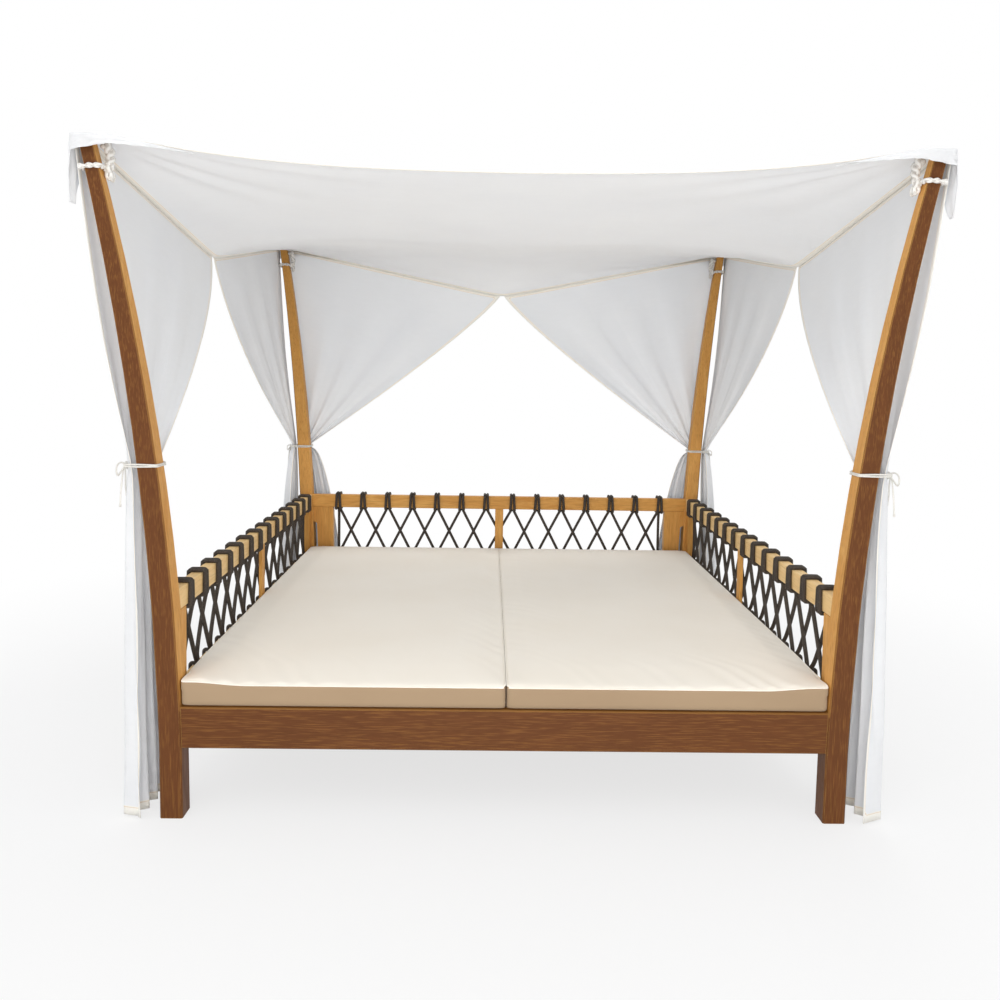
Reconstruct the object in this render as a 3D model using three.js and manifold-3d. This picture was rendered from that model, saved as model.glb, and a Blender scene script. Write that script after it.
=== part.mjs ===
// An outdoor daybed with a cloth canopy, in millimetres, +Z up.
// The origin is on the floor, midway between the four feet, and +Y points to the back of the bed.
// Four tapered posts lean out as they rise. Rails join them below, roped panels stand on three sides,
// and a cloth canopy with six tied curtains hangs from the post tips.

import * as THREE from "three";
import { mergeVertices } from "three/addons/utils/BufferGeometryUtils.js";
import Module from "manifold-3d";

const wasm = await Module();
wasm.setup();

// Overall sizes
const bedWidth = 2130; // over the outer faces of the posts at the floor
const bedDepth = 2130;
const postHeight = 2040;
const postFoot = 70; // side of the square post at the floor
const postTip = 37; // side of the square post at its tip
const postLeanSide = 166; // how far the tip stands out to the side of the foot
const postLeanDepth = 142; // how far the tip stands out to the front or the back
const postEdge = 4; // chamfer on the post's corners
const postRings = 8; // sections between the roped panel and the tip

// Clearances
const seatGap = 0.3; // between pieces that touch
const clothGap = 0.4; // between cloth and what it touches
const joinTolerance = 0.05; // for clearing needless points off a joined solid

// Rails under the mattress
const apronHeight = 128;
const apronThickness = 35;
const apronBottom = 222;
const timberEdge = 3; // chamfer on the long edges of rails and slats
const beamWidth = 46;
const beamHeight = 70;
const legSide = 60;
const legSpacing = 700;
const ledgerWidth = 32;
const ledgerHeight = 30;
const slatCount = 9;
const slatWidth = 110;
const slatThickness = 18;
const slatEdge = 2;
const slatCornerGap = 6; // from the outer slats to the posts
const slatDrop = 18; // from the top of the side rail down to the top of the slats

// Roped panels
const panelThickness = 40;
const panelInset = 5; // from the post foot's outer face to the panel's outer face
const topRailHeight = 68;
const topRailBottom = 637;
const bottomRailHeight = 22;
const midStileWidth = 44;
const midStileThickness = 15;
const sideStileWidth = 50;
const backStileWidth = 80;
const backSlotWidth = 18; // slot between the back panel's end board and the post
const backSlotDrop = 80; // from the top rail down to the slot

// Rope lacing
const ropeSize = 13;
const wrapsPerHalf = 7;
const firstWrap = 72; // from the middle of the panel to its first wrap
const lastWrapGap = 28; // from the last wrap's middle to the end board
const turnSpacing = 21; // between the two turns of a wrap on the top rail
const strandOffset = 6; // how far the strands run outside the middle of the rail

// Mattress
const mattressThickness = 94;
const mattressSideGap = 14; // from the panel's inner face, which leaves room for the rope
const mattressFrontGap = 5; // from the front posts
const mattressBackGap = 35; // from the back panel
const mattressSplit = 4; // between the two halves
const mattressCrown = 9;
const mattressDraw = 7; // how far the sides draw in at the top and bottom edges
const mattressCellsWide = 6;
const mattressCellsLong = 8;

// Canopy
const clothThickness = 3;
const canopyOverhang = 14; // past the outer faces of the post tips
const sideEdgeDraw = 8; // how far the middle of each edge is drawn in
const endEdgeDraw = 30;
const frontSag = 80; // drop of each edge's middle below the corners
const sideSag = 187;
const backSag = 234;
const canopyCells = 8;
const capWidth = 100; // the flat patch on each post tip
const sagMiddleShare = 0.35; // how much of the edges' sag reaches the middle of the cloth
const sagMiddlePower = 4; // how fast it fades from the edge
const sagRoundShare = 0.04; // how rounded the low point of an edge is
const frontSagPower = 3;
const flapLength = 190; // the cloth corner that hangs outside each post tip
const flapWidth = 110;
const flapFoot = 42;
const flapLap = 1; // how far the flap laps over the canopy's edge

// Curtains
const curtainFolds = 4;
const curtainStandOff = 10; // from the post's outer face to the middle of the cloth
const frontTieHeight = 1100;
const backTieHeight = 966;
const bundleWidth = 52; // the gathered cloth at the tie
const bundleDepth = 26;
const foldDepthTop = 5;
const hemHeight = 6; // from the floor
const hemWidth = 240;
const hemFoldDepth = 62;
const skirtSwing = 14; // how far the skirt's middle moves out from the tie to the hem
const skirtTurnIn = 76; // how far the skirt's middle moves in along the bed
const curtainMiddleGap = 12; // from the middle of the canopy edge to a curtain's free edge
const sideSweepPower = 1.75; // how late the free edge sweeps in to the tie
const backSweepPower = 1.15;
const wrapReach = 64; // how far the front curtains turn round behind their posts

// Ties and corner straps
const tieWidth = 9;
const tieThickness = 3;
const tieClearance = 4; // gathered cloth above and below the tie
const tieKnot = 13;
const tieTailLength = 110;
const tieTailWidth = 8;
const tieTailSpread = 24;
const tieTailEdge = 0.5;
const strapDrop = 84; // from the post tip down to the middle of the strap
const strapWidth = 14;
const strapThickness = 5;
const strapKnot = 15; // radius

// Worked out from the sizes above
const halfWidth = bedWidth / 2;
const halfDepth = bedDepth / 2;
const apronTop = apronBottom + apronHeight;
const topRailTop = topRailBottom + topRailHeight;
const slatTop = apronTop - slatDrop;
const slatBottom = slatTop - slatThickness;
const bottomRailBottom = apronTop + ropeSize + seatGap + seatGap;
const bottomRailTop = bottomRailBottom + bottomRailHeight;
const halfCanopyX = halfWidth + postLeanSide + canopyOverhang;
const halfCanopyY = halfDepth + postLeanDepth + canopyOverhang;
const canopyTipZ = postHeight + clothGap + clothThickness / 2;

// Colours of the finishes
const teak = { color: 0xb9783c, roughness: 0.55, metalness: 0 };
const rope = { color: 0x3b332c, roughness: 0.9, metalness: 0 };
const sailcloth = { color: 0xeeeeec, roughness: 0.85, metalness: 0 };
const ticking = { color: 0xe4d8c2, roughness: 0.9, metalness: 0 };
const tape = { color: 0xf2f0ea, roughness: 0.8, metalness: 0 };

const daybed = new THREE.Group();

function place(name, geometry, finish, parent = daybed) {
  const mesh = new THREE.Mesh(geometry, new THREE.MeshStandardMaterial(finish));
  mesh.name = name;
  parent.add(mesh);
  return mesh;
}

// A group mirrored into one of the four corners: the pieces in it are made for the back right corner.
function cornerGroup(sideX, sideY) {
  const group = new THREE.Group();
  group.scale.set(sideX, sideY, 1);
  daybed.add(group);
  return group;
}

// Solid geometry helpers

function indexed(points, faces) {
  const geometry = new THREE.BufferGeometry();
  geometry.setAttribute("position", new THREE.Float32BufferAttribute(points.flat(), 3));
  geometry.setIndex(faces.flat());
  geometry.computeVertexNormals();
  return geometry;
}

// A closed solid through rings of points, each ring anticlockwise seen against the direction of travel.
function loft(rings) {
  const count = rings[0].length;
  const faces = [];
  for (let i = 0; i + 1 < rings.length; i += 1) {
    for (let j = 0; j < count; j += 1) {
      const k = (j + 1) % count;
      const low = i * count;
      const high = low + count;
      faces.push([low + j, low + k, high + k], [low + j, high + k, high + j]);
    }
  }
  const last = (rings.length - 1) * count;
  for (let j = 1; j + 1 < count; j += 1) {
    faces.push([0, j + 1, j], [last, last + j, last + j + 1]);
  }
  return indexed(rings.flat(), faces);
}

// The eight corners of a rectangle with chamfered corners, anticlockwise.
function chamfered(lowU, highU, lowV, highV, edge) {
  return [
    [lowU + edge, lowV],
    [highU - edge, lowV],
    [highU, lowV + edge],
    [highU, highV - edge],
    [highU - edge, highV],
    [lowU + edge, highV],
    [lowU, highV - edge],
    [lowU, lowV + edge],
  ];
}

// A rail along X whose ends are cut to the sloping faces that it meets.
// reach gives its half length at a height.
function railX(lowY, highY, lowZ, highZ, reach, edge = timberEdge) {
  const section = chamfered(lowY, highY, lowZ, highZ, edge);
  const ring = (side) => section.map(([y, z]) => [side * reach(z), y, z]);
  return loft([ring(-1), ring(1)]);
}

function railY(lowX, highX, lowZ, highZ, reach, edge = timberEdge) {
  const section = chamfered(lowX, highX, lowZ, highZ, edge);
  const ring = (side) => section.map(([x, z]) => [x, side * reach(z), z]);
  return loft([ring(1), ring(-1)]);
}

function upright(lowX, highX, lowY, highY, lowZ, highZ, edge = timberEdge) {
  const section = chamfered(lowX, highX, lowY, highY, edge);
  return loft([lowZ, highZ].map((z) => section.map(([x, y]) => [x, y, z])));
}

// A sheet of cloth with thickness, from a grid of points on its middle surface.
function sheetSolid(grid, thickness) {
  const rows = grid.length;
  const columns = grid[0].length;
  const at = (i, j) => grid[Math.min(Math.max(i, 0), rows - 1)][Math.min(Math.max(j, 0), columns - 1)];
  const offset = (i, j, side) => {
    const along = at(i, j + 1).clone().sub(at(i, j - 1));
    const down = at(i + 1, j).clone().sub(at(i - 1, j));
    const normal = along.cross(down).normalize();
    return at(i, j).clone().addScaledVector(normal, (side * thickness) / 2).toArray();
  };
  const points = [];
  for (const side of [1, -1]) {
    for (let i = 0; i < rows; i += 1) {
      for (let j = 0; j < columns; j += 1) points.push(offset(i, j, side));
    }
  }
  const back = rows * columns;
  const faces = [];
  const quad = (a, b, c, d) => faces.push([a, b, c], [a, c, d]);
  for (let i = 0; i + 1 < rows; i += 1) {
    for (let j = 0; j + 1 < columns; j += 1) {
      const a = i * columns + j;
      quad(a, a + 1, a + columns + 1, a + columns);
      quad(back + a, back + a + columns, back + a + columns + 1, back + a + 1);
    }
  }
  for (let j = 0; j + 1 < columns; j += 1) {
    const bottom = (rows - 1) * columns + j;
    quad(back + j, back + j + 1, j + 1, j);
    quad(bottom, bottom + 1, back + bottom + 1, back + bottom);
  }
  for (let i = 0; i + 1 < rows; i += 1) {
    const left = i * columns;
    const right = left + columns - 1;
    quad(left, left + columns, back + left + columns, back + left);
    quad(back + right, back + right + columns, right + columns, right);
  }
  return indexed(points, faces);
}

// Joining with manifold-3d

function solid(geometry) {
  const bare = (geometry.index ? geometry.toNonIndexed() : geometry.clone());
  bare.deleteAttribute("normal");
  bare.deleteAttribute("uv");
  const merged = mergeVertices(bare, 1e-4);
  return new wasm.Manifold(new wasm.Mesh({
    numProp: 3,
    vertProperties: merged.attributes.position.array,
    triVerts: new Uint32Array(merged.index.array),
  }));
}

function fromSolid(whole) {
  const mesh = whole.asOriginal().simplify(joinTolerance).getMesh();
  const geometry = new THREE.BufferGeometry();
  geometry.setAttribute("position", new THREE.BufferAttribute(mesh.vertProperties, 3));
  geometry.setIndex(new THREE.BufferAttribute(mesh.triVerts, 1));
  geometry.computeVertexNormals();
  return geometry;
}

function joined(geometries) {
  return fromSolid(wasm.Manifold.union(geometries.map(solid)));
}

// Turns a shape drawn in (Y, Z) and extruded along its own Z into one that is extruded along X.
const alongX = new THREE.Matrix4().makeBasis(
  new THREE.Vector3(0, 1, 0),
  new THREE.Vector3(0, 0, 1),
  new THREE.Vector3(1, 0, 0),
);
// Turns a shape drawn in (X, Z) into one that is extruded towards -Y.
const alongY = new THREE.Matrix4().makeRotationX(Math.PI / 2);

function polygon(points) {
  return new THREE.Shape(points.map(([u, v]) => new THREE.Vector2(u, v)));
}

function extruded(shape, depth, turn) {
  return new THREE.ExtrudeGeometry(shape, { depth, bevelEnabled: false }).applyMatrix4(turn);
}

// Posts
// The outer face starts upright and leans out on a parabola, while the section tapers by the same law.

const postLevels = [0, apronBottom, apronTop, topRailBottom, topRailTop];
for (let i = 1; i <= postRings; i += 1) {
  postLevels.push(topRailTop + ((postHeight - topRailTop) * i) / postRings);
}

function postBow(z) {
  const share = z / postHeight;
  return share * share;
}

// The faceted post's own value of a law at any height.
function onPost(law, z) {
  const above = Math.max(1, postLevels.findIndex((level) => level >= z));
  const low = postLevels[above - 1];
  const high = postLevels[above];
  return THREE.MathUtils.lerp(law(low), law(high), (z - low) / (high - low));
}

const postSide = (z) => onPost((level) => postFoot - (postFoot - postTip) * postBow(level), z);
const postOuterX = (z) => onPost((level) => halfWidth + postLeanSide * postBow(level), z);
const postOuterY = (z) => onPost((level) => halfDepth + postLeanDepth * postBow(level), z);
const postInnerX = (z) => postOuterX(z) - postSide(z);
const postInnerY = (z) => postOuterY(z) - postSide(z);
const spanX = (z) => postInnerX(z) - seatGap;
const spanY = (z) => postInnerY(z) - seatGap;

function postGeometry() {
  return loft(postLevels.map((z) => {
    const edge = (postEdge * postSide(z)) / postFoot;
    const section = chamfered(postInnerX(z), postOuterX(z), postInnerY(z), postOuterY(z), edge);
    return section.map(([x, y]) => [x, y, z]);
  }));
}

const corners = [
  { name: "front_left", x: -1, y: -1 },
  { name: "front_right", x: 1, y: -1 },
  { name: "back_left", x: -1, y: 1 },
  { name: "back_right", x: 1, y: 1 },
];
for (const corner of corners) {
  corner.group = cornerGroup(corner.x, corner.y);
  place(`post_${corner.name}`, postGeometry(), teak, corner.group);
}

// Rails under the mattress

const apronInnerY = halfDepth - apronThickness;
const apronInnerX = halfWidth - apronThickness;
place("apron_front", railX(-halfDepth, -apronInnerY, apronBottom, apronTop, spanX), teak);
place("apron_back", railX(apronInnerY, halfDepth, apronBottom, apronTop, spanX), teak);
place("apron_left", railY(-halfWidth, -apronInnerX, apronBottom, apronTop, spanY), teak);
place("apron_right", railY(apronInnerX, halfWidth, apronBottom, apronTop, spanY), teak);

const ledgerTop = slatBottom - seatGap;
const ledgerBottom = ledgerTop - ledgerHeight;
for (const [name, side] of [["left", -1], ["right", 1]]) {
  const outer = side * (apronInnerX - seatGap);
  const inner = side * (apronInnerX - seatGap - ledgerWidth);
  const low = Math.min(inner, outer);
  const high = Math.max(inner, outer);
  place(`slat_ledger_${name}`, railY(low, high, ledgerBottom, ledgerTop, spanY, slatEdge), teak);
}

const beamBottom = ledgerTop - beamHeight;
const beamReach = () => apronInnerY - seatGap;
place("centre_beam", railY(-beamWidth / 2, beamWidth / 2, beamBottom, ledgerTop, beamReach), teak);
for (const [name, side] of [["front", -1], ["back", 1]]) {
  const y = (side * legSpacing) / 2;
  const half = legSide / 2;
  place(`centre_leg_${name}`, upright(-half, half, y - half, y + half, 0, beamBottom - seatGap), teak);
}

const slatReach = () => apronInnerX - seatGap;
const slatField = 2 * (postInnerY(slatBottom) - slatCornerGap) - slatWidth;
for (let i = 0; i < slatCount; i += 1) {
  const y = slatField * (i / (slatCount - 1) - 1 / 2);
  const geometry = railX(y - slatWidth / 2, y + slatWidth / 2, slatBottom, slatTop, slatReach, slatEdge);
  place(`slat_${i + 1}`, geometry, teak);
}

// Roped panels
// Each is made for the back of the bed, along X, and the side ones are turned into place.

const backPanel = { face: halfDepth - panelInset, span: spanX, stile: backStileWidth, slot: backSlotWidth };
const sidePanel = { face: halfWidth - panelInset, span: spanY, stile: sideStileWidth, slot: 0 };
const panels = [
  { name: "back", turn: 0, ...backPanel },
  { name: "left", turn: Math.PI / 2, ...sidePanel },
  { name: "right", turn: -Math.PI / 2, ...sidePanel },
];

const stileBottom = bottomRailTop + seatGap;
const stileTop = topRailBottom - seatGap;

function stileInnerEdge(panel) {
  return panel.span(stileBottom) - panel.slot - panel.stile;
}

// An end board: it meets the post all the way up, or only above the slot where it has one.
function endStile(panel, side) {
  const bottom = stileBottom;
  const top = stileTop;
  const slotTop = top - backSlotDrop;
  const inner = stileInnerEdge(panel);
  const outline = [[inner, bottom]];
  if (panel.slot > 0) {
    outline.push([panel.span(bottom) - panel.slot, bottom]);
    outline.push([panel.span(slotTop) - panel.slot, slotTop - panel.slot / 2]);
    outline.push([panel.span(slotTop) - panel.slot / 2, slotTop]);
    outline.push([panel.span(slotTop), slotTop]);
  } else {
    outline.push([panel.span(bottom), bottom]);
  }
  outline.push([panel.span(top), top], [inner, top]);
  const mirrored = side > 0 ? outline : outline.map(([x, z]) => [-x, z]).reverse();
  return extruded(polygon(mirrored), panelThickness, alongY).translate(0, panel.face, 0);
}

// A wrap of rope round a rail, swept round the rail's four sides. Each point of its section is a place
// along the rail and a height over the rail's face.
function ropeWrap(x, section, innerY, outerY, lowZ, highZ) {
  const roundRail = (grow) => [
    [innerY - grow, lowZ - grow],
    [outerY + grow, lowZ - grow],
    [outerY + grow, highZ + grow],
    [innerY - grow, highZ + grow],
  ];
  const railCorners = roundRail(0).length;
  const count = section.length;
  const points = [];
  for (let corner = 0; corner < railCorners; corner += 1) {
    for (const [along, over] of section) points.push([x + along, ...roundRail(seatGap + over)[corner]]);
  }
  const faces = [];
  for (let corner = 0; corner < railCorners; corner += 1) {
    for (let j = 0; j < count; j += 1) {
      const here = corner * count;
      const next = ((corner + 1) % railCorners) * count;
      const k = (j + 1) % count;
      faces.push([here + j, next + j, next + k], [here + j, next + k, here + k]);
    }
  }
  return indexed(points, faces);
}

// A strand leans from one wrap to another in the plane of the panel.
function strand(xTop, xBottom, topZ, bottomZ, y) {
  const drop = topZ - bottomZ;
  const half = (ropeSize / 2) * (Math.hypot(xTop - xBottom, drop) / drop);
  const outline = [
    [xBottom - half, bottomZ],
    [xBottom + half, bottomZ],
    [xTop + half, topZ],
    [xTop - half, topZ],
  ];
  return extruded(polygon(outline), ropeSize, alongY).translate(0, y + ropeSize / 2, 0);
}

// The rope of one panel: a wrap of two turns side by side on the top rail, one turn on the bottom rail,
// and strands that cross between neighbouring wraps. The rope's stretches are fused where they touch.
function lacing(panel) {
  const outerY = panel.face;
  const innerY = panel.face - panelThickness;
  const y = (innerY + outerY) / 2 + strandOffset;
  const topZ = topRailBottom - seatGap - ropeSize / 2;
  const bottomZ = bottomRailTop + seatGap + ropeSize / 2;
  const wide = (turnSpacing + ropeSize) / 2;
  const doubleTurn = [[-wide, 0], [-wide, ropeSize], [0, ropeSize / 2], [wide, ropeSize], [wide, 0]];
  const narrow = ropeSize / 2;
  const singleTurn = [[-narrow, 0], [-narrow, ropeSize], [narrow, ropeSize], [narrow, 0]];
  const wraps = [];
  const lastWrap = stileInnerEdge(panel) - lastWrapGap;
  for (let i = 0; i < wrapsPerHalf; i += 1) {
    const x = THREE.MathUtils.lerp(firstWrap, lastWrap, i / (wrapsPerHalf - 1));
    wraps.unshift(-x);
    wraps.push(x);
  }
  const pieces = [];
  for (const x of wraps) {
    pieces.push(ropeWrap(x, doubleTurn, innerY, outerY, topRailBottom, topRailTop));
    pieces.push(ropeWrap(x, singleTurn, innerY, outerY, bottomRailBottom, bottomRailTop));
  }
  for (let i = 0; i + 1 < wraps.length; i += 1) {
    pieces.push(strand(wraps[i], wraps[i + 1], topZ, bottomZ, y));
    pieces.push(strand(wraps[i + 1], wraps[i], topZ, bottomZ, y));
  }
  for (const x of [wraps[0], wraps.at(-1)]) pieces.push(strand(x, x, topZ, bottomZ, y));
  return joined(pieces);
}

for (const panel of panels) {
  const group = new THREE.Group();
  group.rotation.z = panel.turn;
  daybed.add(group);
  const inner = panel.face - panelThickness;
  const rail = (low, high) => railX(inner, panel.face, low, high, panel.span);
  place(`panel_${panel.name}_top_rail`, rail(topRailBottom, topRailTop), teak, group);
  place(`panel_${panel.name}_bottom_rail`, rail(bottomRailBottom, bottomRailTop), teak, group);
  place(`panel_${panel.name}_stile_a`, endStile(panel, -1), teak, group);
  place(`panel_${panel.name}_stile_b`, endStile(panel, 1), teak, group);
  const half = midStileWidth / 2;
  const middle = upright(-half, half, inner, inner + midStileThickness, stileBottom, stileTop, slatEdge);
  place(`panel_${panel.name}_mid_stile`, middle, teak, group);
  place(`lacing_${panel.name}`, lacing(panel), rope, group);
}

// Mattress
// Two halves side by side. Each has a flat bottom, sides that bow out between their seams, and a crowned top.

function mattressHalf(side) {
  const inner = mattressSplit / 2;
  const outer = halfWidth - panelInset - panelThickness - mattressSideGap;
  const front = mattressFrontGap - postInnerY(slatTop);
  const back = halfDepth - panelInset - panelThickness - mattressBackGap;
  const bottom = slatTop + seatGap;
  const edgeTop = bottom + mattressThickness - mattressCrown;
  const centreX = (inner + outer) / 2;
  const centreY = (front + back) / 2;
  const spanHalfX = (outer - inner) / 2;
  const spanHalfY = (back - front) / 2;
  const point = (u, v, draw, z) => [
    side * centreX + u * (spanHalfX - draw),
    centreY + v * (spanHalfY - draw),
    z,
  ];
  const nx = mattressCellsWide;
  const ny = mattressCellsLong;
  const border = [];
  for (let i = 0; i < nx; i += 1) border.push([-1 + (2 * i) / nx, -1]);
  for (let j = 0; j < ny; j += 1) border.push([1, -1 + (2 * j) / ny]);
  for (let i = 0; i < nx; i += 1) border.push([1 - (2 * i) / nx, 1]);
  for (let j = 0; j < ny; j += 1) border.push([-1, 1 - (2 * j) / ny]);
  const layers = [
    [mattressDraw, bottom],
    [0, (bottom + edgeTop) / 2],
    [mattressDraw, edgeTop],
  ];
  const points = layers.flatMap(([draw, z]) => border.map(([u, v]) => point(u, v, draw, z)));
  const faces = [];
  const count = border.length;
  for (let layer = 0; layer + 1 < layers.length; layer += 1) {
    for (let j = 0; j < count; j += 1) {
      const k = (j + 1) % count;
      const low = layer * count;
      const high = low + count;
      faces.push([low + j, low + k, high + k], [low + j, high + k, high + j]);
    }
  }
  const cap = (zAt, ring, up) => {
    const number = new Map(border.map(([u, v], j) => [`${u.toFixed(4)},${v.toFixed(4)}`, ring * count + j]));
    const index = (i, j) => {
      const u = -1 + (2 * i) / nx;
      const v = -1 + (2 * j) / ny;
      const key = `${u.toFixed(4)},${v.toFixed(4)}`;
      if (!number.has(key)) {
        number.set(key, points.length);
        points.push(point(u, v, mattressDraw, zAt(u, v)));
      }
      return number.get(key);
    };
    for (let i = 0; i < nx; i += 1) {
      for (let j = 0; j < ny; j += 1) {
        const [a, b, c, d] = [index(i, j), index(i + 1, j), index(i + 1, j + 1), index(i, j + 1)];
        faces.push(...(up ? [[a, b, c], [a, c, d]] : [[a, c, b], [a, d, c]]));
      }
    }
  };
  cap(() => bottom, 0, false);
  cap((u, v) => edgeTop + mattressCrown * Math.sqrt((1 - u ** 4) * (1 - v ** 4)), layers.length - 1, true);
  return indexed(points, faces);
}
place("mattress_left", mattressHalf(-1), ticking);
place("mattress_right", mattressHalf(1), ticking);

// Canopy
// One cloth held at the four post tips. Its edges are drawn down in their middles by the curtains.

const flatShareX = 1 - capWidth / halfCanopyX;
const flatShareY = 1 - capWidth / halfCanopyY;

// How far along an edge's sag a point is, from 1 in the middle to 0 on the flat patch at a tip.
function edgeDip(share, flatShare) {
  const along = Math.min(Math.abs(share) / flatShare, 1);
  const round = sagRoundShare;
  const rise = (Math.hypot(along, round) - round) / (Math.hypot(1, round) - round);
  return 1 - rise;
}

function frontDip(share) {
  const along = Math.min(Math.abs(share) / flatShareX, 1);
  return 1 - along ** frontSagPower;
}

function canopyZ(u, v) {
  const middle = (share) => sagMiddleShare + (1 - sagMiddleShare) * share ** sagMiddlePower;
  const front = frontSag * frontDip(u) * ((1 - v) / 2) * middle(v);
  const back = backSag * edgeDip(u, flatShareX) * ((1 + v) / 2) * middle(v);
  const sides = sideSag * edgeDip(v, flatShareY) * middle(u);
  return canopyTipZ - front - back - sides;
}

function canopyPoint(u, v) {
  const drawX = sideEdgeDraw * edgeDip(v, flatShareY);
  const drawY = endEdgeDraw * edgeDip(u, flatShareX);
  return new THREE.Vector3(u * (halfCanopyX - drawX), v * (halfCanopyY - drawY), canopyZ(u, v));
}

function canopyShares(flatShare) {
  const shares = [-1];
  for (let i = 0; i <= canopyCells; i += 1) shares.push(flatShare * ((2 * i) / canopyCells - 1));
  shares.push(1);
  return shares;
}

// The cloth corner that hangs down outside a post tip, made for the back right corner.
function cornerFlap(sideX, sideY) {
  const outerX = halfCanopyX;
  const tipY = halfCanopyY;
  const top = canopyTipZ;
  const outline = [
    [tipY, top],
    [tipY - flapWidth, top - clothThickness / 2],
    [tipY - flapFoot, top - flapLength],
    [tipY - clothThickness, top - flapLength],
  ];
  const shape = polygon(outline.map(([y, z]) => [sideY * y, z]));
  const x = sideX > 0 ? outerX - flapLap : flapLap - outerX - clothThickness;
  return extruded(shape, clothThickness, alongX).translate(x, 0, 0);
}

function canopyGeometry() {
  const grid = canopyShares(flatShareY).map((v) => canopyShares(flatShareX).map((u) => canopyPoint(u, -v)));
  const cloth = sheetSolid(grid, clothThickness);
  return joined([cloth, ...corners.map((corner) => cornerFlap(corner.x, corner.y))]);
}
place("canopy", canopyGeometry(), sailcloth);

// Curtains
// Each is a sheet gathered from half of a canopy edge to a tie on the post, and falls to the floor below it.
// They are made in the back right corner's frame. along runs from the post (0) to the free edge (1).
// The front ones turn round behind their posts at the tie, where turn goes from 0 to 1.

const columns = curtainFolds * 2;
const fallShares = [0, 0.3, 0.62, 0.86, 1]; // rows between the canopy's edge and the tie
const skirtShares = [0.14, 1]; // rows between the tie and the hem
const neck = tieWidth / 2 + tieClearance;
const bundleOffset = curtainStandOff + bundleDepth / 2;

function curtainGeometry({ tie, topAt, outAt, acrossAt, sweepPower, wraps, at }) {
  const gathered = (along, z) => {
    const start = acrossAt(z) + bundleWidth / 2;
    if (!wraps) return { across: start - bundleWidth * along, out: outAt(z) + bundleOffset, turn: 0 };
    const corner = acrossAt(z) - postSide(z) / 2 - bundleOffset;
    const run = along * (start - corner + wrapReach);
    const past = run - (start - corner);
    return {
      across: Math.max(start - run, corner),
      out: outAt(z) + bundleOffset - Math.max(past, 0),
      turn: THREE.MathUtils.clamp(past / bundleDepth + 1 / 2, 0, 1),
    };
  };
  const rows = fallShares.map((fall) => (along) => {
    const top = topAt(along);
    const z = THREE.MathUtils.lerp(top.z, tie + neck, fall);
    const sweep = THREE.MathUtils.lerp(fall, fall ** sweepPower, along);
    const end = gathered(along, tie);
    return {
      z,
      across: THREE.MathUtils.lerp(top.across, end.across, sweep),
      out: outAt(z) + THREE.MathUtils.lerp(top.out - outAt(top.z), end.out - outAt(tie), sweep),
      depth: THREE.MathUtils.lerp(foldDepthTop * Math.min(1, fall / fallShares[1]), bundleDepth / 2, fall),
      turn: end.turn * fall,
    };
  });
  rows.push((along) => ({ z: tie - neck, depth: bundleDepth / 2, ...gathered(along, tie - neck) }));
  for (const fall of skirtShares) {
    rows.push((along) => {
      const opened = Math.sqrt(fall);
      const from = gathered(along, tie - neck);
      const toAcross = acrossAt(hemHeight) - hemWidth * (along - 1 / 2) - skirtTurnIn;
      return {
        z: THREE.MathUtils.lerp(tie - neck, hemHeight, fall),
        across: THREE.MathUtils.lerp(from.across, toAcross, opened),
        out: THREE.MathUtils.lerp(from.out, outAt(tie) + bundleOffset + skirtSwing, opened),
        depth: THREE.MathUtils.lerp(bundleDepth / 2, hemFoldDepth, opened),
        turn: from.turn * (1 - opened),
      };
    });
  }
  const grid = rows.map((row) => {
    const line = [];
    for (let j = 0; j <= columns; j += 1) {
      const { across, out, z, depth, turn } = row(j / columns);
      const fold = ((j % 2 === 0 ? -1 : 1) * depth) / 2 / Math.hypot(turn, 1 - turn);
      line.push(at(across - fold * turn, out + fold * (1 - turn), z));
    }
    return line;
  });
  return sheetSolid(grid, clothThickness);
}

// The curtain along a side edge: across runs along Y and out along X, in the back right corner's frame.
function sideCurtain(tie, wraps) {
  const under = clothThickness / 2 + clothGap;
  const start = (halfDepth + postLeanDepth - clothThickness) / halfCanopyY;
  const end = curtainMiddleGap / halfCanopyY;
  return curtainGeometry({
    tie,
    topAt: (along) => {
      const edge = canopyPoint(1, THREE.MathUtils.lerp(start, end, along));
      return { across: edge.y, out: edge.x - clothThickness, z: edge.z - under };
    },
    outAt: postOuterX,
    acrossAt: (z) => (postInnerY(z) + postOuterY(z)) / 2,
    sweepPower: sideSweepPower,
    wraps,
    at: (across, out, z) => new THREE.Vector3(out, across, z),
  });
}

function backCurtain(tie) {
  const under = clothThickness / 2 + clothGap;
  const start = (halfWidth + postLeanSide - clothThickness) / halfCanopyX;
  const end = curtainMiddleGap / halfCanopyX;
  return curtainGeometry({
    tie,
    topAt: (along) => {
      const edge = canopyPoint(THREE.MathUtils.lerp(start, end, along), 1);
      return { across: edge.x, out: edge.y - clothThickness, z: edge.z - under };
    },
    outAt: postOuterY,
    acrossAt: (z) => (postInnerX(z) + postOuterX(z)) / 2,
    sweepPower: backSweepPower,
    wraps: false,
    at: (across, out, z) => new THREE.Vector3(across, out, z),
  });
}

for (const corner of corners) {
  const atBack = corner.y > 0;
  const geometry = sideCurtain(atBack ? backTieHeight : frontTieHeight, !atBack);
  place(`curtain_side_${corner.name}`, geometry, sailcloth, corner.group);
}
for (const corner of corners.filter((each) => each.y > 0)) {
  place(`curtain_${corner.name}`, backCurtain(backTieHeight), sailcloth, corner.group);
}

// Curtain ties
// A tape round the post and the gathered cloth, with a knot and two tails on its outer side.

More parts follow.
